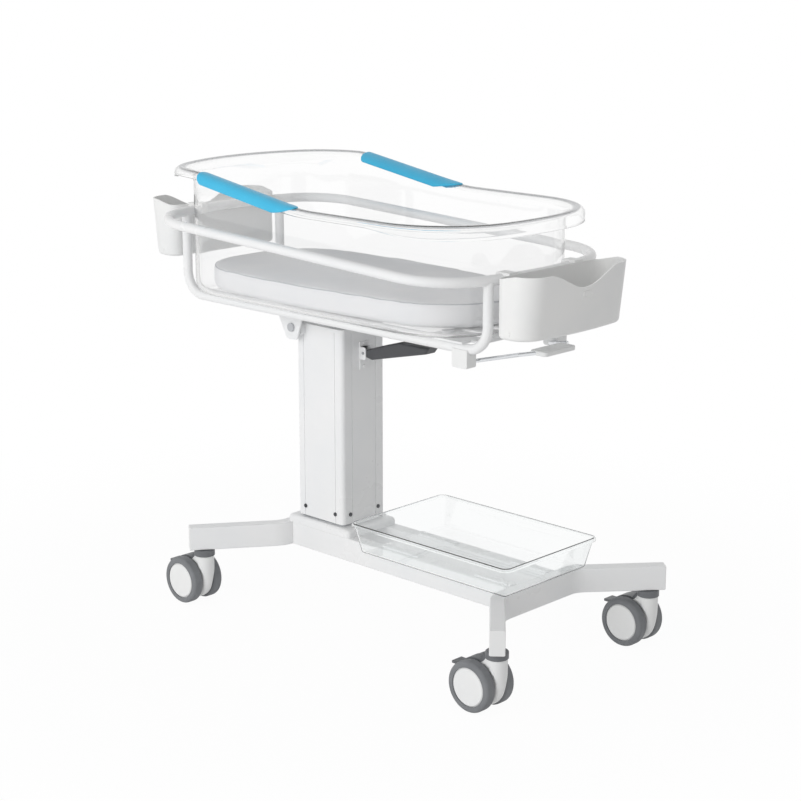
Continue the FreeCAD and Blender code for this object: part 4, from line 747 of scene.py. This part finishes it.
# %% Mattress: outline
PAD_LOW, PAD_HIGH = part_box("mattress")
PAD_HEAD_X, PAD_HEAD_HALF = PAD_LOW.x + 0.004, 0.166
PAD_WIDE_X, PAD_WIDE_HALF = PAD_LOW.x + 0.310, PAD_HIGH.y - 0.0085
PAD_FOOT_X, PAD_FOOT_HALF = PAD_HIGH.x, 0.152
PAD_HEAD_R, PAD_SIDE_R, PAD_FOOT_R = 0.150, 1.9, 0.165
PAD_STEP = 0.012
PAD_FOOT_CURVE = 0.019       # clears the curve between the tub's floor and walls
PAD_TOP_CURVE = 0.0055
PAD_SHRINK = 0.0025          # the pad swells back out by about this much

pad_outline = rounded_outline(
    [(PAD_HEAD_X, -PAD_HEAD_HALF), (PAD_WIDE_X, -PAD_WIDE_HALF), (PAD_FOOT_X, -PAD_FOOT_HALF),
     (PAD_FOOT_X, PAD_FOOT_HALF), (PAD_WIDE_X, PAD_WIDE_HALF), (PAD_HEAD_X, PAD_HEAD_HALF)],
    [PAD_HEAD_R, PAD_SIDE_R, PAD_FOOT_R, PAD_FOOT_R, PAD_SIDE_R, PAD_HEAD_R], PAD_STEP)


def pad_ring(inset, z):
    return [(*(point - out * inset), z) for point, out in pad_outline]


pad_floor, pad_top = PAD_LOW.z, PAD_HIGH.z - PAD_SHRINK
rings = [pad_ring(PAD_SHRINK + PAD_FOOT_CURVE * (1 - sine),
                  pad_floor + PAD_FOOT_CURVE * (1 - cosine)) for sine, cosine in quarter_turn(6)]
rings += [pad_ring(PAD_SHRINK + PAD_TOP_CURVE * (1 - cosine),
                   pad_top - PAD_TOP_CURVE * (1 - sine)) for sine, cosine in quarter_turn(4)]
print("mattress", len(pad_outline), "points round, in", len(rings), "rings")

# %% [markdown]
# Cloth swells evenly only on an even net, and long thin faces would crease, so the pad is cut
# anew into small squares first. Twenty frames are enough for the pressure to find its shape. One
# subdivision afterwards smooths the squares away.

# %% Mattress: the swollen pad
PAD_VOXEL = 0.007            # size of the squares
PAD_PRESSURE = 4.0
PAD_FRAMES = 20
PAD_CAP = 0.003              # no point moves further than this


def swell(obj, floor_z):
    """Blows the pad up as cloth under pressure, within the cap and not through the floor."""
    before = [vertex.co.copy() for vertex in obj.data.vertices]
    cloth = obj.modifiers.new("cloth", "CLOTH")
    cloth.settings.use_pressure = True
    cloth.settings.uniform_pressure_force = PAD_PRESSURE
    cloth.settings.effector_weights.gravity = 0.0
    for frame_number in range(1, PAD_FRAMES + 1):
        bpy.context.scene.frame_set(frame_number)
    make_active(obj)
    bpy.ops.object.modifier_apply(modifier="cloth")
    bpy.context.scene.frame_set(1)
    for vertex, start in zip(obj.data.vertices, before):
        moved = vertex.co - start
        if moved.length > PAD_CAP:
            moved *= PAD_CAP / moved.length
        vertex.co = start + moved
        vertex.co.z = max(vertex.co.z, floor_z)


pad = ring_skin("mattress_pad", rings, close_last=True)
apply_modifier(pad, "REMESH", mode="VOXEL", voxel_size=PAD_VOXEL)
swell(pad, pad_floor)
apply_modifier(pad, "SUBSURF", levels=1)
settle(pad, "mattress_pad", 60)
pad.data.materials.append(cover_white)
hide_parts("mattress")
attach(pad, "basin")
print("mattress", len(pad.data.polygons), "faces")

# %% [markdown]
# A thin cord of piping covers the weld round the mattress's upper edge, so it follows the
# swollen edge exactly: each point of the outline is dropped onto the nearest place of the pad's
# skin, and a round cord is laid along those points.

# %% Mattress piping
PIPING_IN, PIPING_DOWN = 0.0035, 0.0014     # from the outline, and from the pad's top
PIPING_R = 0.0011

edge = []
for point, out in pad_outline:
    aim = Vector((*(point - out * PIPING_IN), PAD_HIGH.z - PIPING_DOWN))
    edge.append(pad.closest_point_on_mesh(aim)[1])
cord = bpy.data.curves.new("mattress_piping", "CURVE")
cord.dimensions = "3D"
cord.bevel_depth = PIPING_R
cord.bevel_resolution = 2
line = cord.splines.new("NURBS")
line.points.add(len(edge) - 1)
for knot, spot in zip(line.points, edge):
    knot.co = (*spot, 1)
line.use_cyclic_u = True
line.order_u = 4
line.resolution_u = 3
piping = bpy.data.objects.new("mattress_piping", cord)
bpy.context.scene.collection.objects.link(piping)
make_active(piping)
bpy.ops.object.convert(target="MESH")
settle(piping, "mattress_piping", 60)
piping.data.materials.append(piping_grey)
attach(piping, "basin")
print("piping", len(piping.data.polygons), "faces")

# %% [markdown]
# The storage tray is drawn from clear sheet like the tub: rounded in plan, wider at the top so
# that it leaves its mould, and finished with a narrow rolled lip that stiffens it.

# %% Storage tray: sizes
TRAY_LOW, TRAY_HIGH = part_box("tray")
TRAY_WALL = 0.0025
TRAY_LIP = 0.0075            # inside of the wall, from the edge of the lip
TRAY_FLARE = 0.0125          # how much wider the walls stand at the top
TRAY_CURVE = 0.004           # between the floor and the walls
TRAY_CREST = 0.0035          # highest line of the lip, from its edge
TRAY_FLAT = 0.010            # from the floor's flat face to the curve
TRAY_ROLL = 0.005            # from the top down to the inside of the wall
TRAY_LIP_DROP, TRAY_LIP_DEPTH = 0.0035, 0.0075
TRAY_CORNER, TRAY_CORNER_MORE = 0.004, 0.007    # corner radius at the floor, and what is added
TRAY_RIM_R = 0.0185          # corner radius at the edge of the lip
TRAY_CORNER_STEPS = 12
TRAY_CUT_EDGE = 0.0006
print("tray", [round(v, 3) for v in TRAY_HIGH - TRAY_LOW])

# %% [markdown]
# The corners of the tray grow rounder from the floor up, so its rings are not one outline moved
# inwards. Each level has its own corner radius, and every corner is given as many points at
# every level, so that the rings still match point by point.

# %% Storage tray: levels and rings
def tray_levels():
    """How far in, how high and how round the corners are, from the floor to the lip's edge."""
    top = TRAY_HIGH.z
    floor_z = TRAY_LOW.z + TRAY_WALL
    low, high = floor_z + TRAY_CURVE, top - TRAY_ROLL
    levels = [(TRAY_LIP + TRAY_FLARE + TRAY_CURVE + TRAY_FLAT, floor_z, TRAY_CORNER)]
    levels += [(TRAY_LIP + TRAY_FLARE + TRAY_CURVE * (1 - sine),
                floor_z + TRAY_CURVE * (1 - cosine), TRAY_CORNER)
               for sine, cosine in quarter_turn(5)]
    for share in (k / 5 for k in range(1, 6)):
        levels.append((TRAY_LIP + TRAY_FLARE * (1 - share),
                       low + (high - floor_z - TRAY_CURVE) * share,
                       TRAY_CORNER + TRAY_CORNER_MORE * share))
    lip = [(TRAY_CREST + (TRAY_LIP - TRAY_CREST) * cosine, high + TRAY_ROLL * sine)
           for sine, cosine in quarter_turn(6, first=1)]
    lip += [(TRAY_CREST * (1 - sine), top - TRAY_LIP_DROP * (1 - cosine))
            for sine, cosine in quarter_turn(6, first=1)]
    lip.append((0.0, top - TRAY_LIP_DEPTH))
    return levels + [(inset, z, TRAY_RIM_R - inset) for inset, z in lip]


def tray_ring(inset, z, radius):
    """The rounded rectangle at one level."""
    head_x, foot_x = TRAY_LOW.x + inset + radius, TRAY_HIGH.x - inset - radius
    near_y, far_y = TRAY_LOW.y + inset + radius, TRAY_HIGH.y - inset - radius
    ring = []
    for x, y, first in ((head_x, near_y, 180), (foot_x, near_y, 270), (foot_x, far_y, 0),
                        (head_x, far_y, 90)):
        for k in range(TRAY_CORNER_STEPS + 1):
            angle = math.radians(first + 90 * k / TRAY_CORNER_STEPS)
            ring.append((x + radius * math.cos(angle), y + radius * math.sin(angle), z))
    return ring


rings = [tray_ring(*level) for level in tray_levels()]
print("tray", len(rings[0]), "points round, in", len(rings), "rings")

# %% Storage tray: the sheet
tray = ring_skin("storage_tray", rings)
give_thickness(tray, TRAY_WALL, TRAY_CUT_EDGE)
settle(tray, "storage_tray", 50)
tray.data.materials.append(clear_tray)
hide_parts("tray")
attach(tray, "tray")
print("tray", len(tray.data.polygons), "faces")

# %% [markdown]
# Under its dark hood each caster has a white housing: a cast body that is round under the cap,
# where it turns on the stem, and narrows between the two wheels to a thin web. Its front is one
# smooth curve from the cap down to the floor side of the wheels. It is skinned over level rings.
# Each ring is an oval from the front curve to the back of the web, and gives way to the wheels
# wherever they would rub. All lengths here are taken from the stem, with the wheels trailing
# behind it towards -X.

# %% Caster housings: one level
STEMS = {"head": (-0.3046, 0.222), "foot": (0.5304, 0.231)}     # place along, and half across
WHEEL_R, WHEEL_TRAIL = 0.050, 0.038
WHEEL_ROOM = 0.0522                         # radius that the wide part keeps off the axle
WEB_HALF, WEB_WITHIN = 0.0131, 0.006        # half its thickness, and how far inside the tyre
SWIVEL_R, HOUSING_TOP = 0.0203, 0.109
FRONT_CURVE = [(0.0064, -0.0330), (0.0090, -0.0200), (0.0145, -0.0070), (0.022, 0.0030),
               (0.031, 0.0100), (0.040, 0.0145), (0.050, 0.0175), (0.060, 0.0190),
               (0.072, 0.0199), (HOUSING_TOP, SWIVEL_R)]        # height, and place along
BACK_CURVE = [(0.0925, -0.050), (0.097, -0.033), (0.103, -0.0245), (HOUSING_TOP, -SWIVEL_R)]
WIDENS_FROM, WIDENS_OVER = 0.040, 0.040     # heights where the web becomes the round body
NOSE = 0.014                                # length of the rounded front
ROUND_FROM = 0.1                            # above this the back is as round as the front
BLUNT_BACK = 0.45
RING_POINTS = 56


def between(table, z):
    """The second value of a table, read between its rows by the first."""
    for (z0, v0), (z1, v1) in zip(table, table[1:]):
        if z <= z1:
            return v0 + (v1 - v0) * (z - z0) / (z1 - z0)
    return table[-1][1]


def housing_ring(stem_x, stem_y, z):
    front = between(FRONT_CURVE, z)
    if z < BACK_CURVE[0][0]:
        chord = math.sqrt(max((WHEEL_R - WEB_WITHIN) ** 2 - (z - WHEEL_R) ** 2, 0))
        back = min(-WHEEL_TRAIL - chord, -SWIVEL_R)
    else:
        back = between(BACK_CURVE, z)
    centre = max(min(0, front - NOSE), (front + back) / 2)
    half = WEB_HALF + (SWIVEL_R - WEB_HALF) * eased((z - WIDENS_FROM) / WIDENS_OVER)
    room = WHEEL_ROOM ** 2 - (z - WHEEL_R) ** 2
    rubs = -WHEEL_TRAIL + math.sqrt(room) if room > 0 else -1.0
    ring = []
    for k in range(RING_POINTS):
        angle = 2 * math.pi * k / RING_POINTS
        along, across = math.cos(angle), math.sin(angle)
        x = centre + along * (front - centre if along > 0 else centre - back)
        power = 1.0 if along > 0 or z > ROUND_FROM else BLUNT_BACK
        y = half * math.copysign(abs(across) ** power, across)
        if x < rubs:
            y = min(max(y, -WEB_HALF), WEB_HALF)
        ring.append((stem_x + x, stem_y + y, z))
    return ring


print("housing", len(FRONT_CURVE), "heights on its front curve")

# %% [markdown]
# One housing serves all four casters, moved to each stem. Its rings lie closer together at the
# rounded bottom, and the axle is a plain bar pushed through the web.

# %% Caster housings: all four
BOTTOM_LEVELS = [0.0064, 0.0070, 0.0082]
FIRST_LEVEL, LEVEL_STEP, LEVELS = 0.0105, 0.0035, 29
AXLE_R, AXLE_LENGTH = 0.004, 0.074

levels = BOTTOM_LEVELS + [FIRST_LEVEL + LEVEL_STEP * k for k in range(LEVELS)]
for end, (stem_x, half_across) in STEMS.items():
    for side, sign in (("near", -1), ("far", 1)):
        stem_y = sign * half_across
        name = f"{end}_{side}_caster_body"
        body = ring_skin(name, [housing_ring(stem_x, stem_y, z) for z in levels],
                         close_last=True)
        apply_modifier(body, "SMOOTH", factor=0.5, iterations=2)
        bpy.ops.mesh.primitive_cylinder_add(
            vertices=24, radius=AXLE_R, depth=AXLE_LENGTH, rotation=(math.radians(90), 0, 0),
            location=(stem_x - WHEEL_TRAIL, stem_y, WHEEL_R))
        axle = bpy.context.object
        make_active(body)
        axle.select_set(True)
        bpy.ops.object.join()
        settle(body, name, 50)
        body.data.materials.append(white_plastic)
        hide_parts(f"caster_{end}_{side}_housing")
        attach(body, f"swivel_{end}_{side}")
        print(name, len(body.data.polygons), "faces")

# %% [markdown]
# The studio is a pale floor, a wide low key light from the near side, and an even grey sky that
# fills the shadows. The camera should see pure white behind the object, but a world that bright
# would wash out the whites on it. Light Path tells the two apart: rays from the camera, and
# those bent or mirrored by glass and metal, see white; rays that light the surfaces see grey.

# %% World
SKY_LIGHT = 0.52


def sees_studio(graph):
    """1 for rays from the camera, and for those mirrored or bent on their way; otherwise 0."""
    path = add_node(graph, "LightPath").outputs
    seen = math_node(graph, "MAXIMUM", path["Is Camera Ray"], path["Is Glossy Ray"])
    return math_node(graph, "MAXIMUM", seen, path["Is Transmission Ray"])


world = bpy.data.worlds.new("studio sky")
bpy.context.scene.world = world
world.use_nodes = True
graph = world.node_tree
graph.nodes.clear()
strength = math_node(graph, "MULTIPLY_ADD", sees_studio(graph), 1 - SKY_LIGHT, SKY_LIGHT)
sky = add_node(graph, "Background", Color=WHITE, Strength=strength)
add_node(graph, "OutputWorld", Surface=sky.outputs["Background"])
print("world lights at", SKY_LIGHT)

# %% [markdown]
# The floor is matt and pale. Close to the object it is a real surface that takes its shadow;
# further out it fades into the white of the sky, so that no horizon shows. The fade is a mask
# in the floor's own coordinates.

# %% Floor
FLOOR_HALF = 12.0
FADE_FROM, FADE_TO = 0.5, 1.6       # distances from the middle of the object
FLOOR_WHITE = 0.96                  # share of plain white mixed in before the fade begins

bpy.ops.mesh.primitive_plane_add(size=2 * FLOOR_HALF, location=(0, 0, 0))
floor = bpy.context.object
floor.name = "studio_floor"
material, graph, shader = new_material("studio floor", (244, 244, 244), 0.9)
place = add_node(graph, "TexCoord")
away = graph.nodes.new("ShaderNodeVectorMath")
away.operation = "LENGTH"
feed(graph, away.inputs[0], place.outputs["Object"])
fade = rise(graph, away.outputs["Value"], FADE_FROM, FADE_TO, smooth=True, To_Min=FLOOR_WHITE)
share = math_node(graph, "MULTIPLY", sees_studio(graph), fade)
plain = add_node(graph, "Emission")
swap_shader(graph, shader.outputs["BSDF"], plain.outputs["Emission"], share)
floor.data.materials.append(material)
print("floor", 2 * FLOOR_HALF, "m square")

# %% [markdown]
# One large lamp stands low on the near side and does the shaping: faces turned to it are almost
# white, the foot end falls to a light grey and so do the tops. Mirrors and clear sheet do not
# show the lamp itself, only the white surroundings, so no hard patch of light lies on the tub.

# %% Lamp
KEY_FROM = Vector((0.0, -0.98, 0.2))
KEY_DISTANCE = 4.0
KEY_SIZE = 3.6
KEY_POWER = 88.0

aim = Vector((0, 0, (frame_low.z + frame_high.z) / 2))
key_place = aim + KEY_FROM.normalized() * KEY_DISTANCE
key_turn = (aim - key_place).to_track_quat("-Z", "Y").to_euler()
bpy.ops.object.light_add(type="AREA", location=key_place, rotation=key_turn)
key = bpy.context.object
key.name = "key"
key.data.shape = "SQUARE"
key.data.size = KEY_SIZE
key.data.energy = KEY_POWER
key.visible_glossy = False
key.visible_transmission = False
bpy.context.scene.view_settings.view_transform = "Standard"
print("lamp", KEY_POWER, "W")
